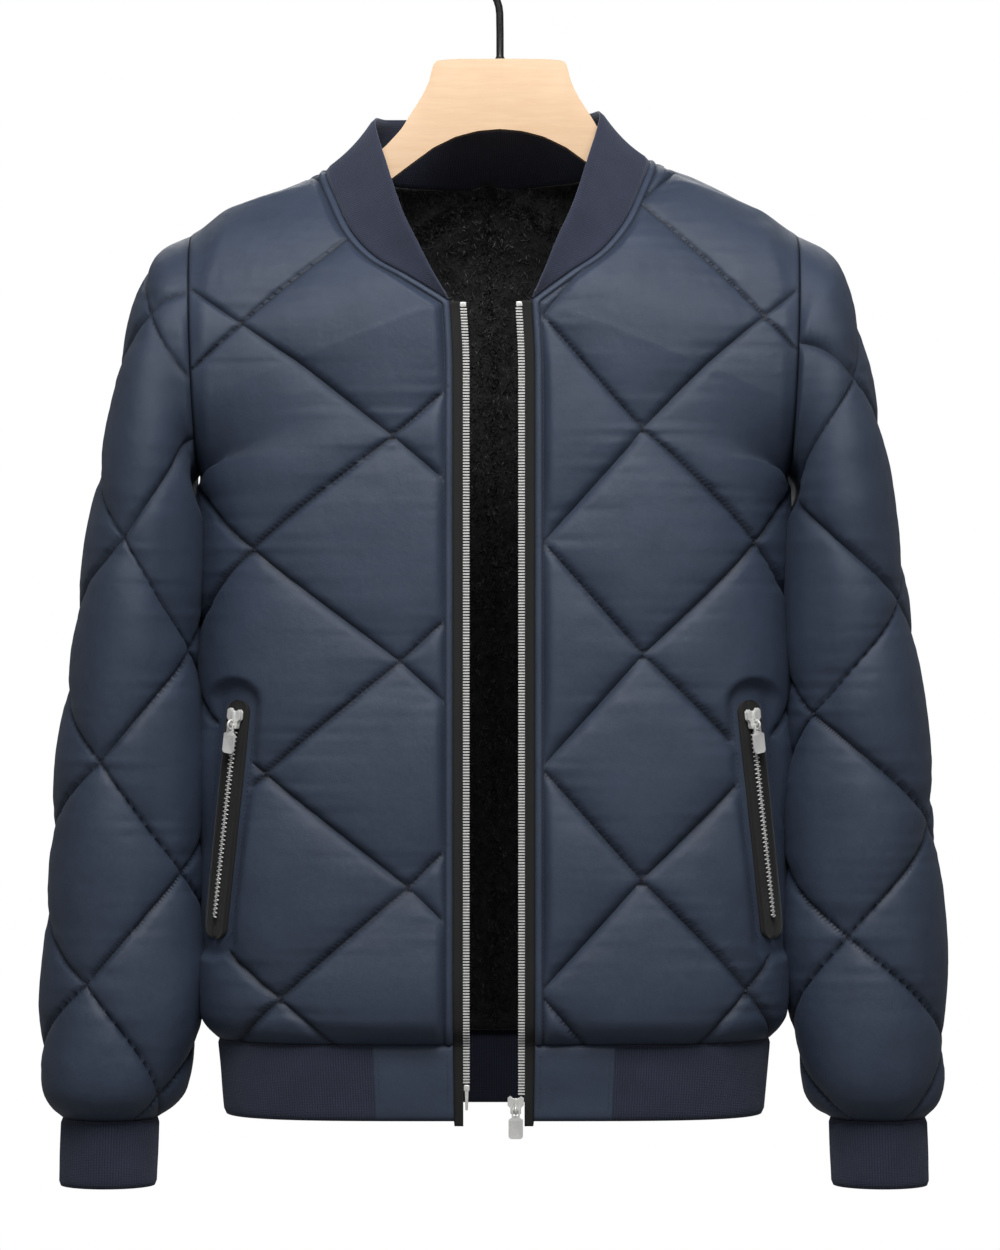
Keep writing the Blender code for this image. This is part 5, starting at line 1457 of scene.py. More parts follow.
def place_matrix(place: Array, across: Array, up: Array, out: Array) -> Matrix:
    """Matrix that takes a flat drawing, x across, y up and z out, to its place in metres."""
    matrix = Matrix((Vector(across), Vector(up), Vector(out))).transposed().to_4x4()
    matrix.translation = Vector(place)
    return matrix


# ---------------------------------------------------------------- zips

def front_depth(z: Array) -> Array:
    """Depth of a front's inner skin at its zip edge, on down to the hem's free edge."""
    v = V_ZIP * (z - HEM_SEAM_Z) / (ZIP_TOP_Z - HEM_SEAM_Z)
    drop = np.clip((HEM_SEAM_Z - z) / (HEM_SEAM_Z - HEM_BOTTOM_Z), 0.0, 1.1)
    return along(LEVELS, "front", np.clip(v, 0.0, V_ZIP)) * (1 - 0.05 * drop)


@dataclass
class FrontZip:
    """The open front zip: tapes, teeth, stops, insertion pin and box."""

    tape_columns: tuple[float, ...] = (21.6, 21.9, 22.5, 23.1, 23.4, 24.2, 25.5, 27.0, 29.0, 31.0, 32.5)
    tape_z: tuple[float, float] = (-279.0, -861.0)
    narrow_z: tuple[float, float] = (-846.0, -858.0)    # the end below the hem is cut narrower
    narrower: float = 4.6
    tape_front: float = 0.5          # depth of the tape's face beside the shell's inner skin
    tape_back: float = 1.4
    bead: float = 0.45               # height of the cord that the teeth clamp
    bead_width: float = 1.8
    ridge: float = 4.0               # from one ridge of the weave to the next
    teeth_x: tuple[float, float] = (17.2, 21.9)
    teeth_top_z: float = -284.5
    tooth_pitch: float = 2.05
    tooth_size: tuple[float, float, float] = (4.5, 1.15, 2.5)
    tooth_depth: float = 0.8         # middle of the teeth behind the front's inner skin
    stop_size: tuple[float, float, float] = (4.6, 3.4, 3.1)
    pin_x: float = 19.25
    pin_z: tuple[float, float] = (-831.5, -849.5)
    slider_top_z: float = -839.4

    def tape(self, side: Side, material: bpy.types.Material) -> bpy.types.Object:
        """The woven tape, with its beaded edge and its upper end folded back."""
        x, z = np.meshgrid(self.tape_columns, np.linspace(*self.tape_z, 292))
        start, end = self.tape_columns[0], self.tape_columns[-1]
        x = x - ease(*self.narrow_z, z) * self.narrower * (x - start) / (end - start)
        depth = front_depth(z)
        bead = self.bead * np.sin(np.pi * np.clip((x - start) / self.bead_width, 0.0, 1.0))
        ridges = 0.07 * np.sin(z * 2 * np.pi / self.ridge)
        top = 0.9 * np.exp(-((self.tape_z[0] - z) / 4.5) ** 2) * ease(32.0, 24.0, x)
        wave = 0.35 * Noise(19).at(np.stack([x, 0 * x, z], axis=-1), 28.0)
        front = np.stack([x, depth + self.tape_front - bead - ridges - top + wave, z], axis=-1)
        back = np.stack([x, depth + self.tape_back + wave + 0.4 * bead, z], axis=-1)
        outer, inner = HANG.both(front, back, side.value)
        uv = np.stack([x, z], axis=-1) * MM
        cloth = ClothMesh()
        cloth.wall(Wall(outer, inner, np.zeros(x.shape, bool), uv))
        return cloth.build(f"zip_tape_{side.word}_weave", material)

    def tooth(self) -> bpy.types.Object:
        """One tooth: a block with a narrower nose and a dimple for its neighbour's."""
        width, height, thick = self.tooth_size
        item = Bench.block("tooth", (width, height, thick), (0.0, 0.0, 0.0))
        Bench.edit(item, "FACE")
        Bench.select(item, "faces", lambda middle: middle.x < -width * 0.45)
        bpy.ops.mesh.inset(thickness=0.2 * MM)
        bpy.ops.transform.translate(value=(-0.35 * MM, 0.0, 0.0))
        bpy.ops.transform.resize(value=(1.0, 0.6, 0.7), center_override=(-width / 2 * MM, 0.0, 0.0))
        Bench.done()
        Bench.soften(item, 0.14, 1)
        return item

    def teeth(self, side: Side, material: bpy.types.Material) -> bpy.types.Object:
        """The row of teeth of one side, with the top stop."""
        low = self.slider_top_z + SEAM_GAP if side is Side.LEFT else self.pin_z[0] + SEAM_GAP
        middle_x = sum(self.teeth_x) / 2
        places = []
        for z in np.arange(self.teeth_top_z, low + 0.8, -self.tooth_pitch):
            depth = float(front_depth(np.array(z))) + self.tooth_depth
            place = HANG.place(np.array((middle_x * side.value, depth, z))) * MM
            across = Vector((side.value, 0.0, 0.0))
            places.append(place_matrix(place, across, Vector((0, 0, 1)), across.cross(Vector((0, 0, 1)))))
        teeth = Bench.repeated(self.tooth(), places, f"zip_teeth_{side.word}_row")
        stop = Bench.block("stop", self.stop_size, (0.0, 0.0, 0.0))
        Bench.soften(stop, 0.6, 3)
        top = places[0].copy()
        top.translation += Vector((0.0002 * side.value, 0.0, 0.0032))
        stop.data.transform(top)
        return Bench.finish(Bench.join([teeth, stop], teeth.name), material)

    def pin(self, material: bpy.types.Material) -> bpy.types.Object:
        """The insertion pin at the right tape's lower end, with its crimp."""
        top, low = self.pin_z
        depth = float(front_depth(np.array((top + low) / 2))) + self.tooth_depth
        shaft = Bench.block("pin", (3.0, 2.4, top - low), (0.0, 0.0, 0.0))
        Bench.edit(shaft, "FACE")
        Bench.select(shaft, "faces", lambda middle: middle.z < -1.0 and middle.xy.length < 0.1)
        bpy.ops.transform.resize(value=(0.6, 0.7, 1.0), center_override=(0.0, 0.0, 0.0))
        Bench.done()
        Bench.soften(shaft, 0.5, 3)
        crimp = Bench.block("crimp", (4.0, 2.8, 4.2), (0.0, 0.0, (top - low) / 2 - 2.3))
        Bench.soften(crimp, 0.5, 3)
        pin = Bench.join([shaft, crimp], "zip_pin_metal")
        place = HANG.place(np.array((-self.pin_x, depth, (top + low) / 2))) * MM
        pin.data.transform(Matrix.Translation(Vector(place)))
        return Bench.finish(pin, material)


@dataclass(frozen=True)
class Zipper:
    """Sizes of a slider and of its pull tab."""

    width: float
    height: float
    thick: float
    eye_drop: float                  # from the slider's middle down to the pull's axis
    tab_width: float
    tab_length: float
    bail_radius: float = 3.1
    bail_wire: float = 0.8
    bail_stand: float = 1.5          # the pull's axis stands this far out of the slider
    plate: float = 1.25              # thickness of each of the slider's plates
    strap: tuple[float, float, float] = (3.4, 1.3, 3.3)     # width, height, clear of the pull's axis
    pull_thick: float = 1.4
    pull_neck: float = 3.1           # half the width of the eye's frame
    pull_bar: float = 0.75           # the eye's bar ends this far above the axis
    pull_eye_low: float = -4.6
    pull_shoulder: float = -7.0
    pull_corner: float = 2.4

    @property
    def axis_height(self) -> float:
        """Height of the pull's axis above the cloth's side of the slider."""
        return self.thick + self.bail_stand

    def slider(self, name: str, matrix: Matrix, material: bpy.types.Material) -> bpy.types.Object:
        """Two winged plates, the post between them and the bail."""
        plate, parts = self.plate, []
        for level in (self.thick - plate / 2, plate / 2):
            item = Bench.block(name, (self.width, self.height, plate), (0.0, 0.0, level))
            Bench.edit(item)
            bpy.ops.mesh.select_all(action="SELECT")
            bpy.ops.mesh.subdivide(number_cuts=5)
            low, high = -self.height / 2, self.height / 2
            Bench.select(item, "verts", lambda co: co.y < low + 0.1)
            bpy.ops.transform.resize(value=(0.58, 1.0, 1.0), center_override=(0.0, 0.0, 0.0))
            Bench.select(item, "verts", lambda co: low + 0.1 < co.y < low + self.height * 0.4)
            bpy.ops.transform.resize(value=(0.66, 1.0, 1.0), center_override=(0.0, 0.0, 0.0))
            Bench.select(item, "verts", lambda co: high - 0.1 < co.y and abs(co.x) < self.width * 0.2)
            bpy.ops.transform.translate(value=(0.0, -1.7 * MM, 0.0))
            Bench.select(item, "verts", lambda co: high - 0.1 < co.y and abs(co.x) > self.width * 0.45)
            bpy.ops.transform.translate(value=(0.0, -1.5 * MM, 0.0))
            Bench.done()
            Bench.soften(item, 0.32, 3, 28.0)
            parts.append(item)
        gap = self.thick - 2 * plate
        post = Bench.block("post", (3.0, self.height * 0.5, gap + 0.4),
                           (0.0, self.height * 0.12, self.thick / 2))
        Bench.soften(post, 0.3, 2)
        parts.append(post)
        for side in (-1, 1):
            wall = Bench.block("flange", (0.8, self.height * 0.42, gap + 0.4),
                               (side * self.width * 0.29, -self.height * 0.27, self.thick / 2))
            Bench.soften(wall, 0.2, 2)
            parts.append(wall)
        wide, high, clear = self.strap
        top, low = self.height * 0.40, clear - self.eye_drop
        strap = Bench.block("strap", (wide, top - low, high), (0.0, (top + low) / 2, self.thick + 0.45))
        Bench.edit(strap, "FACE")
        Bench.select(strap, "faces", lambda middle: middle.z > self.thick + 1.0)
        bpy.ops.transform.resize(value=(0.7, 0.86, 1.0), center_override=(0.0, (top + low) / 2 * MM, 0.0))
        Bench.done()
        Bench.soften(strap, 0.4, 3)
        parts += [strap, self.bail()]
        slider = Bench.join(parts, name)
        slider.data.transform(matrix)
        return Bench.finish(slider, material)

    def bail(self) -> bpy.types.Object:
        """The loop that holds the pull: a ring, flattened to a strap, that stands on the slider."""
        bpy.ops.object.select_all(action="DESELECT")
        bpy.ops.mesh.primitive_torus_add(
            major_radius=self.bail_radius * MM, minor_radius=self.bail_wire * MM,
            major_segments=40, minor_segments=12, rotation=(0.0, math.pi / 2, 0.0))
        bpy.ops.object.transform_apply(location=True, rotation=True, scale=True)
        ring = bpy.context.object
        Bench.edit(ring)
        Bench.select(ring, "verts", lambda co: co.z < -self.bail_stand - 0.6)
        bpy.ops.mesh.delete(type="VERT")
        Bench.done()
        ring.data.transform(Matrix.Translation(Vector((0.0, -self.eye_drop, self.axis_height)) * MM))
        Bench.only(ring)
        bpy.ops.object.shade_smooth()
        return ring

    def pull(self, name: str, matrix: Matrix, material: bpy.types.Material) -> bpy.types.Object:
        """The flat tab: an eye round the bail, a waist, and a body with a raised border, left plain."""
        half, neck, bar = self.tab_width / 2, self.pull_neck, self.pull_bar
        shoulder, eye_low = self.pull_shoulder, self.pull_eye_low
        middle_y = (shoulder - self.tab_length) / 2 * MM
        bpy.ops.object.select_all(action="DESELECT")
        bpy.ops.mesh.primitive_plane_add(size=1.0, location=(0.0, middle_y, 0.0))
        tab = bpy.context.object
        tab.scale = (2 * half * MM, (self.tab_length + shoulder) * MM, 1.0)
        bpy.ops.object.transform_apply(location=True, rotation=True, scale=True)
        Bench.edit(tab, "EDGE")
        for rise, wide in ((-shoulder + eye_low - 1.0, neck / half * 0.92), (-eye_low + 1.0 + bar, 1.09)):
            made = bmesh.from_edit_mesh(tab.data)
            top = max(vert.co.y for vert in made.verts) / MM
            Bench.select(tab, "edges", lambda middle, top=top: middle.y > top - 0.05)
            bpy.ops.mesh.extrude_region_move(TRANSFORM_OT_translate={"value": (0.0, rise * MM, 0.0)})
            bpy.ops.transform.resize(value=(wide, 1.0, 1.0), center_override=(0.0, 0.0, 0.0))
        bpy.ops.mesh.select_mode(type="FACE")
        Bench.select(tab, "faces", lambda middle: middle.y > eye_low)
        bpy.ops.mesh.inset(thickness=1.25 * MM)
        bpy.ops.mesh.delete(type="FACE")
        bpy.ops.mesh.select_mode(type="VERT")
        Bench.select(tab, "verts", lambda co: co.y < -self.tab_length + 0.1)
        bpy.ops.mesh.bevel(offset=self.pull_corner * MM, segments=6, affect="VERTICES")
        Bench.select(tab, "verts", lambda co: co.y > bar - 0.1)
        bpy.ops.mesh.bevel(offset=1.0 * MM, segments=4, affect="VERTICES")
        bpy.ops.mesh.select_all(action="SELECT")
        thick = self.pull_thick * MM
        bpy.ops.mesh.extrude_region_move(TRANSFORM_OT_translate={"value": (0.0, 0.0, thick)})
        bpy.ops.mesh.select_all(action="SELECT")
        bpy.ops.transform.translate(value=(0.0, 0.0, -thick / 2))
        bpy.ops.mesh.normals_make_consistent(inside=False)
        bpy.ops.mesh.select_mode(type="FACE")
        for level in (-1.0, 1.0):
            Bench.select(tab, "faces", lambda middle, level=level: middle.z * level > 0.6
                         and middle.y < shoulder - 2.0)
            bpy.ops.mesh.inset(thickness=1.15 * MM)
            bpy.ops.transform.translate(value=(0.0, 0.0, -0.28 * level * MM))
        Bench.done()
        Bench.soften(tab, 0.2, 2, 25.0)
        tab.name = tab.data.name = name
        drop = Matrix.Translation(Vector((0.0, -self.eye_drop, self.axis_height)) * MM)
        tab.data.transform(matrix @ drop)
        return Bench.finish(tab, material)


FRONT_ZIPPER = Zipper(11.5, 12.5, 5.4, 3.2, 10.2, 20.5)
POCKET_ZIPPER = Zipper(12.6, 14.0, 3.4, 4.4, 10.4, 20.5)


def front_slider_matrix() -> Matrix:
    """Where the front slider sits, at the left tape's lower end."""
    x, z, back = 15.4, -845.6, 1.8
    place = HANG.place(np.array((x, float(front_depth(np.array(z))) + back, z))) * MM
    return place_matrix(place, Vector((1, 0, 0)), Vector((0, 0, 1)), Vector((0, -1, 0)))


@dataclass
class PocketZip:
    """A side pocket's closed zip: black surround, teeth, slider and pull."""

    half_width: float = 8.2
    tape_lift: tuple[float, float] = (0.8, 1.8)      # above the shell's flat outer skin
    teeth_lift: float = 2.2
    teeth_share: tuple[float, float] = (0.125, 0.915)
    slider_share: float = 0.065
    tooth_pitch: float = 1.5

    def spots(self, share: Array, across: Array, lift: Array, side: Side) -> tuple[Array, Array]:
        """Hung points beside the pocket's line and the directions out of the front there."""
        u, v = POCKET.on_front(share, across)
        hint = np.array((0.4, -1.0, 0.0))
        normal = skin_normal(lambda a, b: Body.point(a, b, Facing.FRONT), u, v, hint)
        point = Body.point(u, v, Facing.FRONT) + normal * (WALL + np.asarray(lift))[..., None]
        return HANG.place(mirrored(point, side.value)), mirrored(normal, side.value)

    def surround(self, side: Side, material: bpy.types.Material,
                 stitching: Stitching) -> bpy.types.Object:
        """The black surround, with rounded ends, a turned edge and a bed for the teeth."""
        shares = np.concatenate((np.linspace(-0.012, 0.06, 14), np.linspace(0.072, 0.94, 60),
                                 np.linspace(0.95, 1.012, 14)))
        length = math.dist(POCKET.top, POCKET.end)
        across = np.array((-1.0, -0.97, -0.9, -0.78, -0.62, -0.45, -0.34, -0.22, 0.0,
                           0.22, 0.34, 0.45, 0.62, 0.78, 0.9, 0.97, 1.0))
        to_end = np.minimum(shares + 0.013, 1.013 - shares) * length
        from_round = 1.0 - np.clip(to_end / self.half_width, 0.0, 1.0)
        round_in = np.sqrt(np.maximum(1.0 - from_round**2, 0.02))
        share, place = np.meshgrid(shares, across, indexing="ij")
        width = place * self.half_width * round_in[:, None]
        roll = 0.9 * np.exp(-((abs(place) - 0.80) / 0.13) ** 2)
        bed = 0.35 * np.exp(-(place / 0.34) ** 4)
        turned = 1.5 * np.maximum(abs(place) - 0.93, 0.0) / 0.07
        ends = 1.0 * np.exp(-(to_end / 1.2) ** 2)[:, None]
        high = self.tape_lift[1] - 0.35 + roll - bed - turned - ends
        outer, _ = self.spots(share, width, np.maximum(high, 0.3), side)
        inner, _ = self.spots(share, width, np.full_like(share, 0.2), side)
        for sign in (-1, 1):
            edge = sign * (self.half_width * round_in + POCKET.stitch - self.half_width)
            stitching.add(*self.spots(shares, edge, np.full_like(shares, 0.35), side))
        uv = np.stack([width, share * length], axis=-1) * MM
        cloth = ClothMesh()
        cloth.wall(Wall(outer, inner, np.zeros(outer.shape[:2], bool), uv, inner_step=8))
        return cloth.build(f"pocket_surround_{side.word}", material)

    def frame(self, share: float, lift: float, side: Side) -> Matrix:
        """Matrix of a spot on the pocket's line: x across, y up the zip, z out of the front."""
        shares = np.array((share, share - 0.03, share + 0.03, share, share))
        across = np.array((0.0, 0.0, 0.0, 3.0, -3.0))
        here, above, below, right, left = self.spots(shares, across, np.full(5, lift), side)[0]
        up = Vector(above - below).normalized()
        way = Vector(right - left).normalized() * side.value
        out = way.cross(up).normalized()
        return place_matrix(here * MM, up.cross(out), up, out)

    def teeth(self, side: Side, material: bpy.types.Material) -> bpy.types.Object:
        """Closed teeth, which alternate from the two sides."""
        tooth = Bench.block("tooth", (3.3, 1.1, 1.5), (1.05, 0.0, 0.75))
        Bench.edit(tooth, "FACE")
        Bench.select(tooth, "faces", lambda middle: middle.x > 2.6)
        bpy.ops.transform.resize(value=(1.0, 0.7, 0.75), center_override=(0.0, 0.0, 0.0))
        Bench.done()
        Bench.soften(tooth, 0.14, 1)
        length = math.dist(POCKET.top, POCKET.end)
        count = int(length * (self.teeth_share[1] - self.teeth_share[0]) / self.tooth_pitch)
        places = []
        for number, share in enumerate(np.linspace(*self.teeth_share, count)):
            turn = Matrix.Rotation(math.pi * (number % 2), 4, "Z")
            places.append(self.frame(share, self.teeth_lift, side) @ turn)
        return Bench.finish(Bench.repeated(tooth, places, f"pocket_teeth_{side.word}_row"), material)

    def slider_matrix(self, side: Side) -> Matrix:
        """Where the slider sits, at the zip's upper end."""
        return self.frame(self.slider_share, self.tape_lift[1] + SEAM_GAP, side)


# ---------------------------------------------------------------- hanger and hook

@dataclass(frozen=True)
class Hanger:
    """The carved wooden hanger: two bowed arms, jointed at the middle."""

    neck_top: tuple[tuple[float, float], ...] = (
        (0.0, -99.2), (30.0, -99.4), (45.0, -100.4), (48.4, -103.0), (50.4, -114.5), (56.5, -127.0),
        (64.0, -138.5), (71.0, -150.0), (83.0, -163.0), (98.0, -173.5))
    arch: tuple[tuple[float, float], ...] = (
        (0.0, -149.8), (16.0, -151.2), (32.0, -155.4), (48.0, -163.2), (66.0, -176.5), (84.0, -190.0))
    drop: float = 26.0               # height of an arm
    thick: float = 14.0
    corner: float = 4.2
    tip_x: float = 205.0
    clear: float = 1.7               # under the shoulders' inner skin
    step: float = 1.6                # from one section to the next along the neck

    def arm_top(self, x: float, side: Side) -> float:
        """Height of an arm's upper edge under the shoulder seam."""
        share = np.linspace(0.0, 1.0, 41)
        seam = HANG.place(mirrored(Body.point(share, np.ones_like(share), Facing.FRONT), side.value))
        return float(np.interp(x, seam[:, 0] * side.value, seam[:, 2])) - self.clear

    def sections(self, side: Side) -> Array:
        """Rows of x, upper and lower height, from the joint out to the tip."""
        along_seam = (122.0, 140.0, 160.0, 182.0, 205.0)
        top = list(self.neck_top) + [(x, self.arm_top(x, side)) for x in along_seam]
        top.append((self.tip_x + 4.0, self.arm_top(self.tip_x, side) - 6.0))
        low = list(self.arch) + [(x, self.arm_top(x, side) - self.drop) for x in (120.0, 150.0, 180.0)]
        low += [(self.tip_x - 5.0, self.arm_top(self.tip_x, side) - 18.0),
                (self.tip_x + 4.0, self.arm_top(self.tip_x, side) - 14.0)]
        stations = np.concatenate((np.arange(0.0, 44.0, 4.0), np.arange(44.0, 60.0, 0.5),
                                   np.arange(60.0, 110.0, self.step), np.arange(110.0, 200.0, 6.0),
                                   np.arange(200.0, self.tip_x + 4.1, 1.0)))
        found = [stations]
        for line in (top, low):
            fine = np.arange(-3.0, 212.0, 0.25)
            heights = np.interp(fine, *np.array(line).T)
            weights = np.exp(-(np.arange(-14, 15) * 0.25 / 1.6) ** 2)
            soft = np.convolve(np.pad(heights, 14, mode="edge"), weights / weights.sum(), mode="valid")
            found.append(np.interp(stations, fine, soft))
        return np.stack(found, axis=1)

    def arm(self, side: Side) -> bpy.types.Object:
        """One arm, drawn out section by section from the joint to its tip."""
        rows = self.sections(side)
        x, top, low = rows[0]
        arm = Bench.block("arm", (0.02, self.thick, top - low),
                          (side.value * (x + 0.01), 0.0, (top + low) / 2))
        Bench.edit(arm, "FACE")
        Bench.select(arm, "faces", lambda middle: middle.x * side.value > x + 0.015)
        height, middle = top - low, (top + low) / 2
        for x_next, top, low in rows[1:]:
            rise = (top + low) / 2 - middle
            move = (side.value * (x_next - x) * MM, 0.0, rise * MM)
            bpy.ops.mesh.extrude_region_move(TRANSFORM_OT_translate={"value": move})
            bpy.ops.transform.resize(value=(1.0, 1.0, (top - low) / height),
                                     center_override=(0.0, 0.0, (top + low) / 2 * MM))
            x, height, middle = x_next, top - low, (top + low) / 2
        bpy.ops.mesh.select_all(action="SELECT")
        bpy.ops.mesh.normals_make_consistent(inside=False)
        Bench.done()
        return arm

    def build(self, material: bpy.types.Material) -> bpy.types.Object:
        """Both arms, their edges rounded, with the groove of the joint between them."""
        arms = [self.arm(side) for side in Side]
        for arm in arms:
            Bench.soften(arm, self.corner, 5, 50.0)
        return Bench.finish(Bench.join(arms, "hanger_wood"), material)


@dataclass(frozen=True)
class Hook:
    """The wire hook, which leans a little over its foot."""

    wire: float = 2.7                # radius
    inside: float = 20.0
    foot_z: float = -100.6
    shank: tuple[tuple[float, float, float], ...] = (
        (0.0, 0.0, 1.5), (0.0, 1.4, 1.48), (0.0, 2.4, 1.34), (0.0, 3.2, 1.1), (0.0, 4.2, 1.0),
        (0.0, 20.6, 1.0), (-0.2, 34.6, 1.0), (-0.8, 39.6, 1.0), (-2.0, 43.6, 1.0), (-4.1, 48.4, 1.0),
        (-6.5, 52.1, 1.0))
    arc: tuple[float, float] = (232.0, -20.0)

    def build(self, material: bpy.types.Material) -> bpy.types.Object:
        """Bend the wire as a curve, then make it a mesh."""
        radius = self.inside + self.wire
        points = [(x, self.foot_z + rise, thick) for x, rise, thick in self.shank]
        for degrees in np.arange(self.arc[0], self.arc[1] - 0.1, -5.25):
            angle = math.radians(degrees)
            points.append((radius * math.cos(angle), radius * math.sin(angle) - self.inside, 1.0))
        angle = math.radians(self.arc[1])
        end, way = np.array(points[-1][:2]), np.array((math.sin(angle), -math.cos(angle)))
        for run, thick in ((0.5, 0.97), (1.2, 0.86), (1.8, 0.68), (2.2, 0.42), (2.4, 0.1)):
            x, z = end + way * run
            points.append((x, z, thick))
        bpy.ops.object.select_all(action="DESELECT")
        bpy.ops.curve.primitive_nurbs_path_add()
        wire = bpy.context.object
        wire.data.splines.clear()
        spline = wire.data.splines.new("POLY")
        spline.points.add(len(points) - 1)
        for point, (x, z, thick) in zip(spline.points, points):
            point.co = (x * MM, 0.0, z * MM, 1.0)
            point.radius = thick
        wire.data.bevel_depth = self.wire * MM
        wire.data.bevel_resolution = 6
        wire.data.use_fill_caps = True
        Bench.only(wire)
        bpy.ops.object.convert(target="MESH")
        wire = bpy.context.object
        wire.name = wire.data.name = "hook_wire"
        bpy.ops.object.shade_smooth_by_angle(angle=math.radians(50.0))
        return Bench.finish(wire, material)


# ---------------------------------------------------------------- finishes

class Graph:
    """A material's nodes, with short ways to add and join them."""

    def __init__(self, name: str) -> None:
        """Start a material with its shader."""
        self.material = bpy.data.materials.new(name)
        self.material.use_nodes = True
        self.tree = self.material.node_tree
        self.shader = self.tree.nodes["Principled BSDF"]

    def add(self, kind: str, inputs: Optional[dict] = None, **settings: object) -> bpy.types.Node:
        """Add a node; inputs are numbers, colours or other nodes' sockets, by name or place."""
        node = self.tree.nodes.new(kind)
        for key, value in settings.items():
            setattr(node, key, value)
        for key, value in (inputs or {}).items():
            if isinstance(value, bpy.types.NodeSocket):
                self.tree.links.new(value, node.inputs[key])
            else:
                node.inputs[key].default_value = value
        return node

    def place(self, kind: str, scale: Sequence[float] = (1.0, 1.0, 1.0)) -> bpy.types.NodeSocket:
        """Object or UV coordinates, in metres, stretched by a scale."""
        source = self.add("ShaderNodeTexCoord").outputs[kind]
        return self.add("ShaderNodeMapping", {"Vector": source, "Scale": scale}).outputs[0]

    def noise(self, place: bpy.types.NodeSocket, size: float,
              detail: float = 3.0) -> bpy.types.NodeSocket:
        """Cloudy values from 0 to 1, in patches of a size in millimetres."""
        return self.add("ShaderNodeTexNoise", {"Vector": place, "Scale": 1.0 / (size * MM),
                                               "Detail": detail, "Roughness": 0.55}).outputs[0]

    def waves(self, place: bpy.types.NodeSocket, pitch: float, way: str) -> bpy.types.NodeSocket:
        """Even waves from 0 to 1 along X or Y, with a pitch in millimetres."""
        return self.add("ShaderNodeTexWave", {"Vector": place, "Scale": 0.31415926 / (pitch * MM)},
                        bands_direction=way, wave_profile="SIN").outputs["Fac"]

    def sum(self, *parts: tuple[bpy.types.NodeSocket, float]) -> bpy.types.NodeSocket:
        """Weighted sum of values."""
        total = None
        for socket, weight in parts:
            scaled = self.add("ShaderNodeMath", {0: socket, 1: weight}, operation="MULTIPLY").outputs[0]
            total = scaled if total is None else self.add(
                "ShaderNodeMath", {0: total, 1: scaled}, operation="ADD").outputs[0]
        return total

    def spread(self, value: bpy.types.NodeSocket, low: float, high: float, first: float,
               last: float) -> bpy.types.NodeSocket:
        """A value's span from low to high, taken to the span from first to last."""
        return self.add("ShaderNodeMapRange", {"Value": value, "From Min": low, "From Max": high,
                                               "To Min": first, "To Max": last}).outputs[0]

    def shades(self, value: bpy.types.NodeSocket,
               *stops: tuple[float, Sequence[float]]) -> bpy.types.NodeSocket:
        """Colours along a value."""
        ramp = self.add("ShaderNodeValToRGB", {0: value})
        elements = ramp.color_ramp.elements
        while len(elements) < len(stops):
            elements.new(0.5)
        for element, (place, colour) in zip(elements, stops):
            element.position = place
            element.color = (*colour, 1.0)
        return ramp.outputs[0]

    def tints(self, value: bpy.types.NodeSocket, colour: Sequence[float], dark: float, light: float,
              low: float = 0.3, high: float = 0.7) -> bpy.types.NodeSocket:
        """Shades of one colour along a value, from a darker one at low to a lighter one at high."""
        return self.shades(value, (low, tinted(colour, dark)), (high, tinted(colour, light)))

    def sewn(self, face: bpy.types.NodeSocket, dark: Sequence[float]) -> bpy.types.NodeSocket:
        """The face's colour with painted shade, which turns it dark in stitched lines, at seams and
        between ribs.
        """
        depth = self.add("ShaderNodeAttribute", attribute_name="sewn").outputs["Fac"]
        mix = self.add("ShaderNodeMix", {0: depth, 6: face, 7: (*dark, 1.0)}, data_type="RGBA")
        return mix.outputs[2]

    def wire(self, **sockets: object) -> None:
        """Give the shader its inputs; an underscore in a name stands for a space."""
        for name, value in sockets.items():
            socket = self.shader.inputs[name.replace("_", " ")]
            if isinstance(value, bpy.types.NodeSocket):
                self.tree.links.new(value, socket)
            else:
                socket.default_value = value

    def relief(self, height: bpy.types.NodeSocket, distance: float, strength: float = 1.0) -> None:
        """Use a height from 0 to 1 as bumps of a distance in millimetres."""
        bump = self.add("ShaderNodeBump", {"Height": height, "Distance": distance * MM,
                                           "Strength": strength})
        self.tree.links.new(bump.outputs[0], self.shader.inputs["Normal"])


Colour = tuple[float, float, float]


def tinted(colour: Colour, factor: float) -> Colour:
    """A colour made lighter or darker."""
    return tuple(min(value * factor, 1.0) for value in colour)


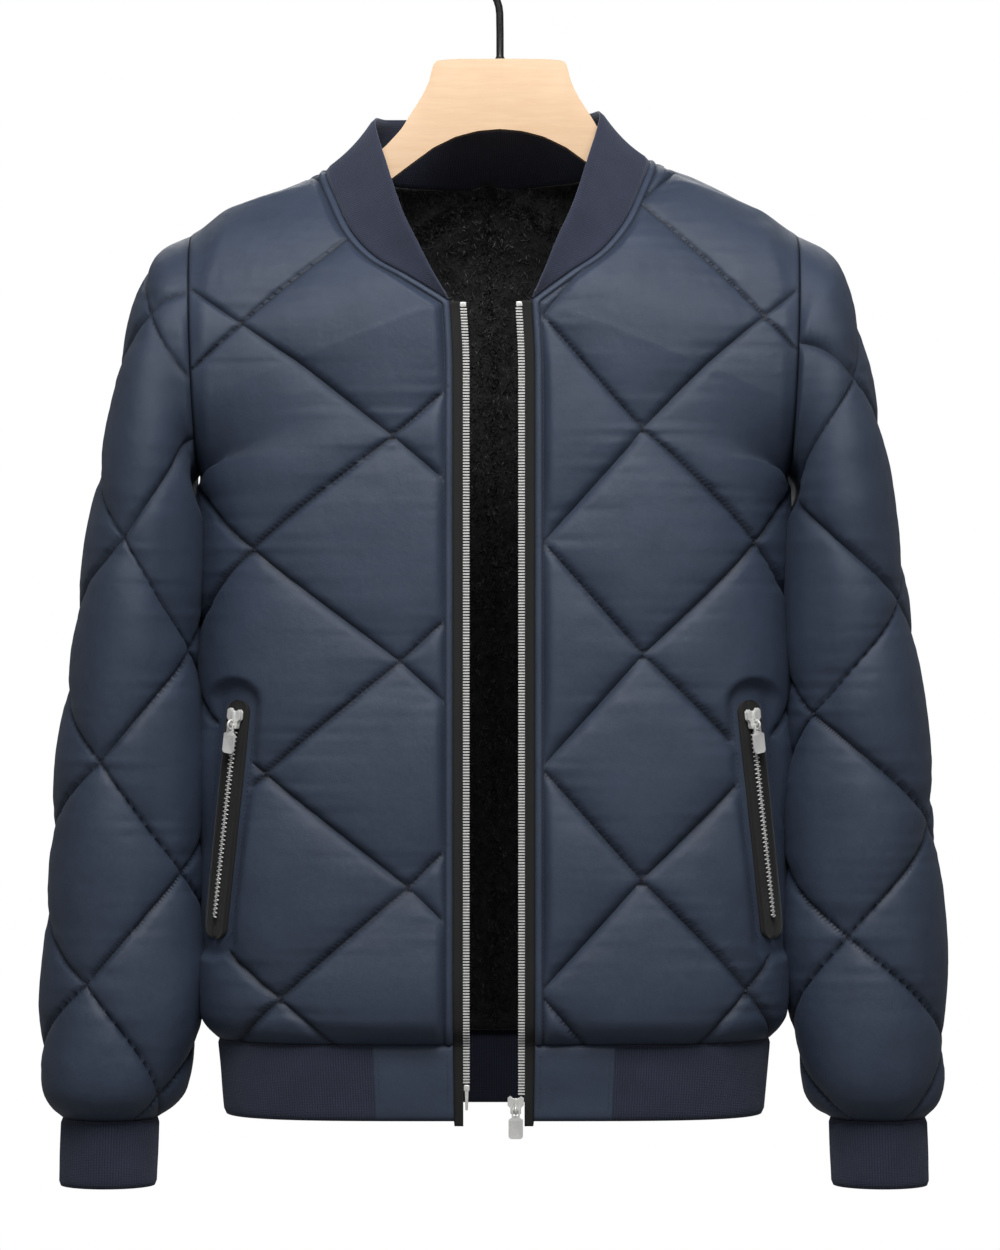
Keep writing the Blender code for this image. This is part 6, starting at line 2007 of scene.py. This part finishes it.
@dataclass(frozen=True)
class ShellFinish:
    """Navy woven polyester with a satin face."""

    colour: Colour = (0.047, 0.064, 0.103)
    roughness: float = 0.46
    weave: float = 0.55              # pitch of the yarns
    variation: float = 0.14
    groove: float = 0.16             # painted shade: how much of its colour the cloth keeps in a stitched line or seam

    def material(self) -> bpy.types.Material:
        """Fine crossed yarns, small crumples and slow changes of shade."""
        graph = Graph("navy_shell")
        cloth, space = graph.place("UV"), graph.place("Object")
        slow = graph.noise(space, 42.0)
        fine = graph.noise(space, 3.2)
        mixed = graph.sum((slow, 0.6), (fine, 0.4))
        face = graph.tints(mixed, self.colour, 1 - self.variation, 1 + self.variation)
        # Painted shade: the colour darkens by the sewn attribute in stitched lines and at seams.
        graph.wire(Base_Color=graph.sewn(face, tinted(self.colour, self.groove)),
                   Roughness=graph.spread(graph.noise(space, 16.0), 0.3, 0.7, self.roughness - 0.05,
                                          self.roughness + 0.06),
                   Sheen_Weight=0.05, Sheen_Roughness=0.35, Sheen_Tint=(0.55, 0.66, 0.85, 1.0),
                   Specular_IOR_Level=0.40)
        yarns = graph.sum((graph.waves(cloth, self.weave, "X"), 0.12),
                          (graph.waves(cloth, self.weave, "Y"), 0.12),
                          (graph.noise(space, 5.5, 4.0), 0.5), (graph.noise(space, 1.6), 0.22))
        graph.relief(yarns, 0.55, 0.7)
        return graph.material


@dataclass(frozen=True)
class RibFinish:
    """Dark navy knit, matte and a little fuzzy."""

    colour: Colour = (0.040, 0.046, 0.078)
    stitch: float = 1.15             # height of a row of stitches
    groove: float = 0.35             # painted shade: how much of its colour the knit keeps between ribs

    def material(self) -> bpy.types.Material:
        """Rows of stitches along each rib, under a short fuzz."""
        graph = Graph("navy_rib_knit")
        cloth, space = graph.place("UV"), graph.place("Object")
        mixed = graph.sum((graph.noise(space, 22.0), 0.5), (graph.noise(space, 1.1), 0.5))
        face = graph.tints(mixed, self.colour, 0.8, 1.25, 0.28, 0.72)
        # Painted shade: the colour darkens between ribs by the sewn attribute.
        graph.wire(Base_Color=graph.sewn(face, tinted(self.colour, self.groove)), Roughness=0.88,
                   Sheen_Weight=0.35, Sheen_Roughness=0.5, Sheen_Tint=(0.60, 0.66, 0.82, 1.0),
                   Specular_IOR_Level=0.25)
        loops = graph.sum((graph.waves(cloth, self.stitch, "Y"), 0.5), (graph.noise(space, 0.7), 0.5))
        graph.relief(loops, 0.35, 0.8)
        return graph.material


@dataclass(frozen=True)
class PileFinish:
    """Black pile, seen between the blades of its nap."""

    colour: Colour = (0.016, 0.016, 0.0165)

    def material(self) -> bpy.types.Material:
        """Clumps of fibre with a dull face."""
        graph = Graph("black_pile")
        space = graph.place("Object")
        clumps = graph.sum((graph.noise(space, 7.0, 5.0), 0.6), (graph.noise(space, 1.4), 0.4))
        graph.wire(Base_Color=graph.tints(clumps, self.colour, 0.5, 1.8),
                   Roughness=0.92, Sheen_Weight=0.25, Sheen_Roughness=0.4, Specular_IOR_Level=0.2)
        graph.relief(clumps, 2.2)
        return graph.material


@dataclass(frozen=True)
class NapFinish:
    """The pile's fibres: black, with tufts painted grey as highlights of their sheen."""

    dark: Colour = (0.011, 0.011, 0.0115)
    # painted highlight: the grey of fibres that catch the light
    light: Colour = (0.20, 0.20, 0.205)

    def material(self) -> bpy.types.Material:
        """Black fibres with painted highlights: strands and tufts of them turn grey."""
        graph = Graph("black_nap")
        space = graph.place("Object")
        tufts = graph.sum((graph.noise(space, 9.0, 4.0), 0.5), (graph.noise(space, 0.9, 2.0), 0.5))
        graph.wire(Base_Color=graph.shades(tufts, (0.44, self.dark), (0.57, tinted(self.dark, 3.0)),
                                           (0.68, self.light)),
                   Roughness=0.55, Specular_IOR_Level=0.35)
        return graph.material


@dataclass(frozen=True)
class TapeFinish:
    """Black woven zip tape."""

    colour: Colour = (0.017, 0.017, 0.0165)
    yarn: float = 0.9

    def material(self) -> bpy.types.Material:
        """A close herringbone of yarns."""
        graph = Graph("black_tape")
        cloth, space = graph.place("UV"), graph.place("Object")
        weave = graph.sum((graph.waves(cloth, self.yarn, "X"), 0.35),
                          (graph.waves(cloth, self.yarn * 0.8, "Y"), 0.35), (graph.noise(space, 0.8), 0.3))
        graph.wire(Base_Color=graph.tints(weave, self.colour, 0.7, 1.5, 0.25, 0.75),
                   Roughness=0.8, Sheen_Weight=0.2, Sheen_Roughness=0.4, Specular_IOR_Level=0.3)
        graph.relief(weave, 0.25, 0.9)
        return graph.material


@dataclass(frozen=True)
class MetalFinish:
    """Bright nickel plate, rubbed a little duller in patches."""

    colour: Colour = (0.95, 0.945, 0.92)
    roughness: float = 0.24
    metallic: float = 0.3

    def material(self) -> bpy.types.Material:
        """Plate that is duller in patches."""
        graph = Graph("nickel_plate")
        space = graph.place("Object")
        rubbed = graph.noise(space, 5.0)
        graph.wire(Base_Color=graph.tints(rubbed, self.colour, 0.96, 1.03), Metallic=self.metallic,
                   Roughness=graph.spread(rubbed, 0.3, 0.7, self.roughness - 0.03, self.roughness + 0.05))
        return graph.material


@dataclass(frozen=True)
class WoodFinish:
    """Pale wood under a thin satin lacquer."""

    light: Colour = (0.98, 0.70, 0.46)
    dark: Colour = (0.90, 0.60, 0.37)

    def material(self) -> bpy.types.Material:
        """Long grain along the arms, with short pores."""
        graph = Graph("pale_wood")
        grain = graph.noise(graph.place("Object", (0.10, 1.0, 1.0)), 3.0, 5.0)
        pores = graph.noise(graph.place("Object", (0.06, 1.0, 1.0)), 0.7, 2.0)
        slow = graph.noise(graph.place("Object"), 45.0)
        mixed = graph.sum((grain, 0.5), (pores, 0.2), (slow, 0.3))
        graph.wire(Base_Color=graph.shades(mixed, (0.32, self.dark), (0.62, self.light)),
                   Roughness=graph.spread(pores, 0.3, 0.7, 0.40, 0.52), Coat_Weight=0.15,
                   Coat_Roughness=0.25)
        graph.relief(graph.sum((pores, 0.6), (grain, 0.4)), 0.05)
        return graph.material


@dataclass(frozen=True)
class WireFinish:
    """Black coated wire."""

    colour: Colour = (0.012, 0.012, 0.013)

    def material(self) -> bpy.types.Material:
        """A smooth coat with a slight orange-peel surface."""
        graph = Graph("black_wire")
        space = graph.place("Object")
        peel = graph.noise(space, 1.8, 2.0)
        graph.wire(Base_Color=graph.tints(graph.noise(space, 12.0), self.colour, 0.8, 1.3),
                   Roughness=graph.spread(peel, 0.3, 0.7, 0.26, 0.38), Coat_Weight=0.2,
                   Coat_Roughness=0.15)
        graph.relief(peel, 0.04)
        return graph.material


@dataclass(frozen=True)
class ThreadFinish:
    """Sewing thread, a shade darker than the shell."""

    colour: Colour = (0.024, 0.032, 0.052)

    def material(self) -> bpy.types.Material:
        """Twisted thread with slight changes of shade."""
        graph = Graph("navy_thread")
        twist = graph.noise(graph.place("Object"), 0.9)
        graph.wire(Base_Color=graph.tints(twist, self.colour, 0.7, 1.4), Roughness=0.6,
                   Sheen_Weight=0.2)
        graph.relief(twist, 0.1)
        return graph.material


class Slot(Enum):
    """Material slots of the pieces."""

    SHELL = "shell"
    RIB = "rib"
    PILE = "pile"
    TAPE = "tape"
    METAL = "metal"
    WOOD = "wood"
    WIRE = "wire"


# ---------------------------------------------------------------- studio

@dataclass(frozen=True)
class SoftLight:
    """A soft box."""

    name: str
    place: tuple[float, float, float]
    aim: tuple[float, float, float]
    width: float
    height: float
    power: float

    def build(self) -> None:
        """Put the light in its place and turn it to what it lights."""
        lamp = bpy.data.lights.new(self.name, "AREA")
        lamp.shape = "RECTANGLE"
        lamp.size, lamp.size_y, lamp.energy = self.width, self.height, self.power
        item = bpy.data.objects.new(self.name, lamp)
        item.location = self.place
        way = Vector(self.aim) - Vector(self.place)
        item.rotation_euler = way.to_track_quat("-Z", "Y").to_euler()
        bpy.context.scene.collection.objects.link(item)


@dataclass(frozen=True)
class Studio:
    """White room, pale floor, soft boxes and the camera."""

    camera_y: float = -3.505
    camera_z: float = -0.5068
    lens: float = 140.0
    floor_z: float = -1.55
    floor_size: float = 9.0
    ambient: float = 0.13            # light from the room itself
    lights: tuple[SoftLight, ...] = (
        SoftLight("front_box", (0.05, -1.45, 1.0), (0.0, 0.0, -0.45), 1.5, 0.8, 40.0),
        SoftLight("left_box", (-2.0, -2.6, -0.1), (0.0, 0.0, -0.5), 0.8, 1.6, 5.0),
        SoftLight("right_box", (2.0, -2.6, -0.1), (0.0, 0.0, -0.5), 0.8, 1.6, 5.0),
        SoftLight("back_box", (0.0, 2.6, 1.2), (0.0, 0.0, -0.4), 2.2, 1.4, 30.0),
    )

    def world(self) -> None:
        """A room that looks white and lights the cloth softly."""
        world = bpy.data.worlds.new("white_room")
        bpy.context.scene.world = world
        world.use_nodes = True
        tree = world.node_tree
        background = tree.nodes["Background"]
        background.inputs["Color"].default_value = (1.0, 1.0, 1.0, 1.0)
        path = tree.nodes.new("ShaderNodeLightPath")
        level = tree.nodes.new("ShaderNodeMapRange")
        level.inputs["To Min"].default_value = self.ambient
        level.inputs["To Max"].default_value = 1.0
        tree.links.new(path.outputs["Is Camera Ray"], level.inputs["Value"])
        tree.links.new(level.outputs[0], background.inputs["Strength"])

    def floor(self) -> bpy.types.Object:
        """The pale floor far below the jacket."""
        bpy.ops.object.select_all(action="DESELECT")
        bpy.ops.mesh.primitive_plane_add(size=self.floor_size, location=(0.0, 0.0, self.floor_z))
        floor = bpy.context.object
        floor.name = floor.data.name = "floor"
        bpy.ops.object.transform_apply(location=True, rotation=True, scale=True)
        graph = Graph("pale_floor")
        speck = graph.noise(graph.place("Object"), 60.0)
        graph.wire(Base_Color=graph.shades(speck, (0.3, (0.80, 0.80, 0.79)), (0.7, (0.84, 0.84, 0.83))),
                   Roughness=0.7, Emission_Color=(1.0, 1.0, 0.99, 1.0), Emission_Strength=0.62)
        floor.visible_diffuse = floor.visible_glossy = False    # it doesn't light the cloth from below
        return Bench.finish(floor, graph.material)

    def camera(self) -> None:
        """The camera at the photograph's viewing angle."""
        lens = bpy.data.cameras.new("camera")
        lens.sensor_fit = "VERTICAL"
        lens.sensor_height = 36.0
        lens.lens = self.lens
        item = bpy.data.objects.new("camera", lens)
        item.location = (0.0, self.camera_y, self.camera_z)
        item.rotation_euler = (math.pi / 2, 0.0, 0.0)
        bpy.context.scene.collection.objects.link(item)
        bpy.context.scene.camera = item

    def build(self) -> bpy.types.Object:
        """Set the room up and return its floor."""
        self.world()
        for light in self.lights:
            light.build()
        self.camera()
        bpy.context.scene.view_settings.view_transform = "Standard"
        return self.floor()


# ---------------------------------------------------------------- putting it together

@dataclass(frozen=True)
class Cut:
    """Size that a piece of cloth was cut to, as its rectangle and the share of it that is cloth."""

    width: float
    length: float
    share: float = 1.0

    def declare(self, piece: bpy.types.Object, rests_on: Sequence[str],
                with_pieces: Sequence[bpy.types.Object] = ()) -> None:
        """Takes the cut of a hung piece and does nothing with it."""


@dataclass
class Bomber:
    """The whole jacket on its hanger, piece by piece."""

    finishes: dict[str, bpy.types.Material]
    cut_front: Cut = Cut(0.230, 0.700, 0.82)
    cut_back: Cut = Cut(0.530, 0.775, 0.75)
    cut_sleeve: Cut = Cut(0.495, 0.665, 0.61)
    cut_collar: Cut = Cut(0.680, 0.055, 0.78)
    cut_hem: Cut = Cut(0.810, 0.054)
    cut_block: Cut = Cut(0.057, 0.054)
    cut_cuff: Cut = Cut(0.223, 0.049)
    cut_lining: Cut = Cut(0.410, 0.750, 0.78)

    def settle(self, piece: Optional[bpy.types.Object], slot: Slot, *nodes: str, body: str = "jacket",
               ) -> Optional[bpy.types.Object]:
        """Let a piece ride on its body, hide the parts it replaces, and report it."""
        if piece is None:
            return None
        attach(piece, body)
        if nodes:
            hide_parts(*nodes)
        LOG.info("%s: %d faces", piece.name, len(piece.data.polygons))
        return piece

    def cloth(self, name: str, walls: Sequence[Wall], slot: Slot) -> bpy.types.Object:
        """Make one mesh of a piece's walls."""
        mesh = ClothMesh()
        for wall in walls:
            mesh.wall(wall)
        return mesh.build(name, self.finishes[slot.value])

    def sewn(self, name: str, node: str, walls: Callable[[Stitching], Sequence[Wall]], cut: Cut,
             rests_on: str) -> None:
        """A piece of shell cloth with its rows of stitching.

        Args:
            name: the piece's name.
            node: the solid that it replaces.
            walls: makes the piece's walls and adds their thread to a stitching.
            cut: the size it was cut to.
            rests_on: the piece that carries it.
        """
        sewing = Stitching()
        piece = self.cloth(name, walls(sewing), Slot.SHELL)
        self.settle(piece, Slot.SHELL, node)
        rows = self.settle(sewing.build(f"{node}_stitching", self.finishes["thread"]), Slot.SHELL)
        cut.declare(piece, [rests_on], [rows])

    def knitted(self, node: str, wall: Wall, cut: Cut, rests_on: str) -> None:
        """A piece of rib knit that replaces a node."""
        piece = self.cloth(f"{node}_knit".replace("_rib", ""), [wall], Slot.RIB)
        self.settle(piece, Slot.RIB, node)
        cut.declare(piece, [rests_on])

    def shell(self) -> None:
        """Fronts, back and sleeves with their rows of stitching."""
        for side in Side:
            panel = QuiltedPanel(Facing.FRONT, side, QUILTING.fronts[side], seed=11 + side.value)
            sleeve = QuiltedSleeve(side, QUILTING.sleeves[side], seed=31 + side.value)
            for node, piece, cut in ((f"front_{side.word}", panel, self.cut_front),
                                     (f"sleeve_{side.word}", sleeve, self.cut_sleeve)):
                self.sewn(f"{node}_quilt", node, lambda sewing, piece=piece: [piece.wall(sewing)],
                          cut, "hanger")
        halves = [QuiltedPanel(Facing.BACK, side, QUILTING.back, seed=21) for side in Side]
        self.sewn("back_quilt", "back", lambda sewing: [half.wall(sewing) for half in halves],
                  self.cut_back, "hanger")

    def knit(self) -> None:
        """Collar, hem and cuffs."""
        band = HemBand()
        self.knitted("collar", Collar().wall(), self.cut_collar, "back_quilt")
        self.knitted("hem_rib", band.rib_wall(), self.cut_hem, "back_quilt")
        for side in Side:
            node = f"hem_block_{side.word}"
            self.sewn(f"{node}_cloth", node, lambda sewing, side=side: [band.block_wall(side, sewing)],
                      self.cut_block, f"front_{side.word}_quilt")
            self.knitted(f"cuff_{side.word}", Cuff().wall(side), self.cut_cuff,
                         f"sleeve_{side.word}_quilt")

    def lining(self) -> None:
        """The pile inside the back."""
        pile = PileLining()
        piece = self.settle(pile.build(self.finishes["pile"]), Slot.PILE, "lining_back")
        nap = self.settle(pile.nap(self.finishes["nap"]), Slot.PILE)
        self.cut_lining.declare(piece, ["back_quilt"], [nap])

    def zips(self) -> None:
        """The open front zip and both pocket zips."""
        tape, metal = self.finishes["tape"], self.finishes["metal"]
        zip_front = FrontZip()
        for side in Side:
            word = side.word
            self.settle(zip_front.tape(side, tape), Slot.TAPE, f"zip_tape_{word}")
            self.settle(zip_front.teeth(side, metal), Slot.METAL, f"zip_teeth_{word}")
        self.settle(zip_front.pin(metal), Slot.METAL, "zip_pin")
        matrix = front_slider_matrix()
        self.settle(FRONT_ZIPPER.slider("zip_slider_metal", matrix, metal), Slot.METAL, "zip_slider")
        pull = FRONT_ZIPPER.pull("zip_pull_metal", matrix, metal)
        self.settle(pull, Slot.METAL, "zip_pull", body="front_tab")
        for side in Side:
            word, pocket, sewing = side.word, PocketZip(), Stitching()
            self.settle(pocket.surround(side, tape, sewing), Slot.TAPE, f"pocket_tape_{word}")
            self.settle(sewing.build(f"pocket_stitching_{word}", self.finishes["thread"]), Slot.SHELL)
            self.settle(pocket.teeth(side, metal), Slot.METAL, f"pocket_teeth_{word}")
            matrix = pocket.slider_matrix(side)
            self.settle(POCKET_ZIPPER.slider(f"pocket_slider_{word}_metal", matrix, metal), Slot.METAL,
                        f"pocket_slider_{word}")
            self.settle(POCKET_ZIPPER.pull(f"pocket_pull_{word}_metal", matrix, metal), Slot.METAL,
                        f"pocket_pull_{word}", body=f"{word}_pocket_tab")

    def support(self) -> None:
        """The hanger and its hook."""
        self.settle(Hanger().build(self.finishes["wood"]), Slot.WOOD, "hanger")
        self.settle(Hook().build(self.finishes["wire"]), Slot.WIRE, "hook")


def main() -> None:
    """Load the frame and dress it piece by piece."""
    logging.basicConfig(level=logging.INFO, format="%(relativeCreated)7.0f ms  %(message)s",
                        stream=sys.stdout)
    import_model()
    Studio().build()
    finishes = {"shell": ShellFinish(), "rib": RibFinish(), "pile": PileFinish(), "nap": NapFinish(),
                "tape": TapeFinish(), "metal": MetalFinish(), "wood": WoodFinish(), "wire": WireFinish(),
                "thread": ThreadFinish()}
    bomber = Bomber({name: finish.material() for name, finish in finishes.items()})
    for step in (bomber.support, bomber.zips, bomber.shell, bomber.knit, bomber.lining):
        step()


if __name__ == "__main__":
    main()
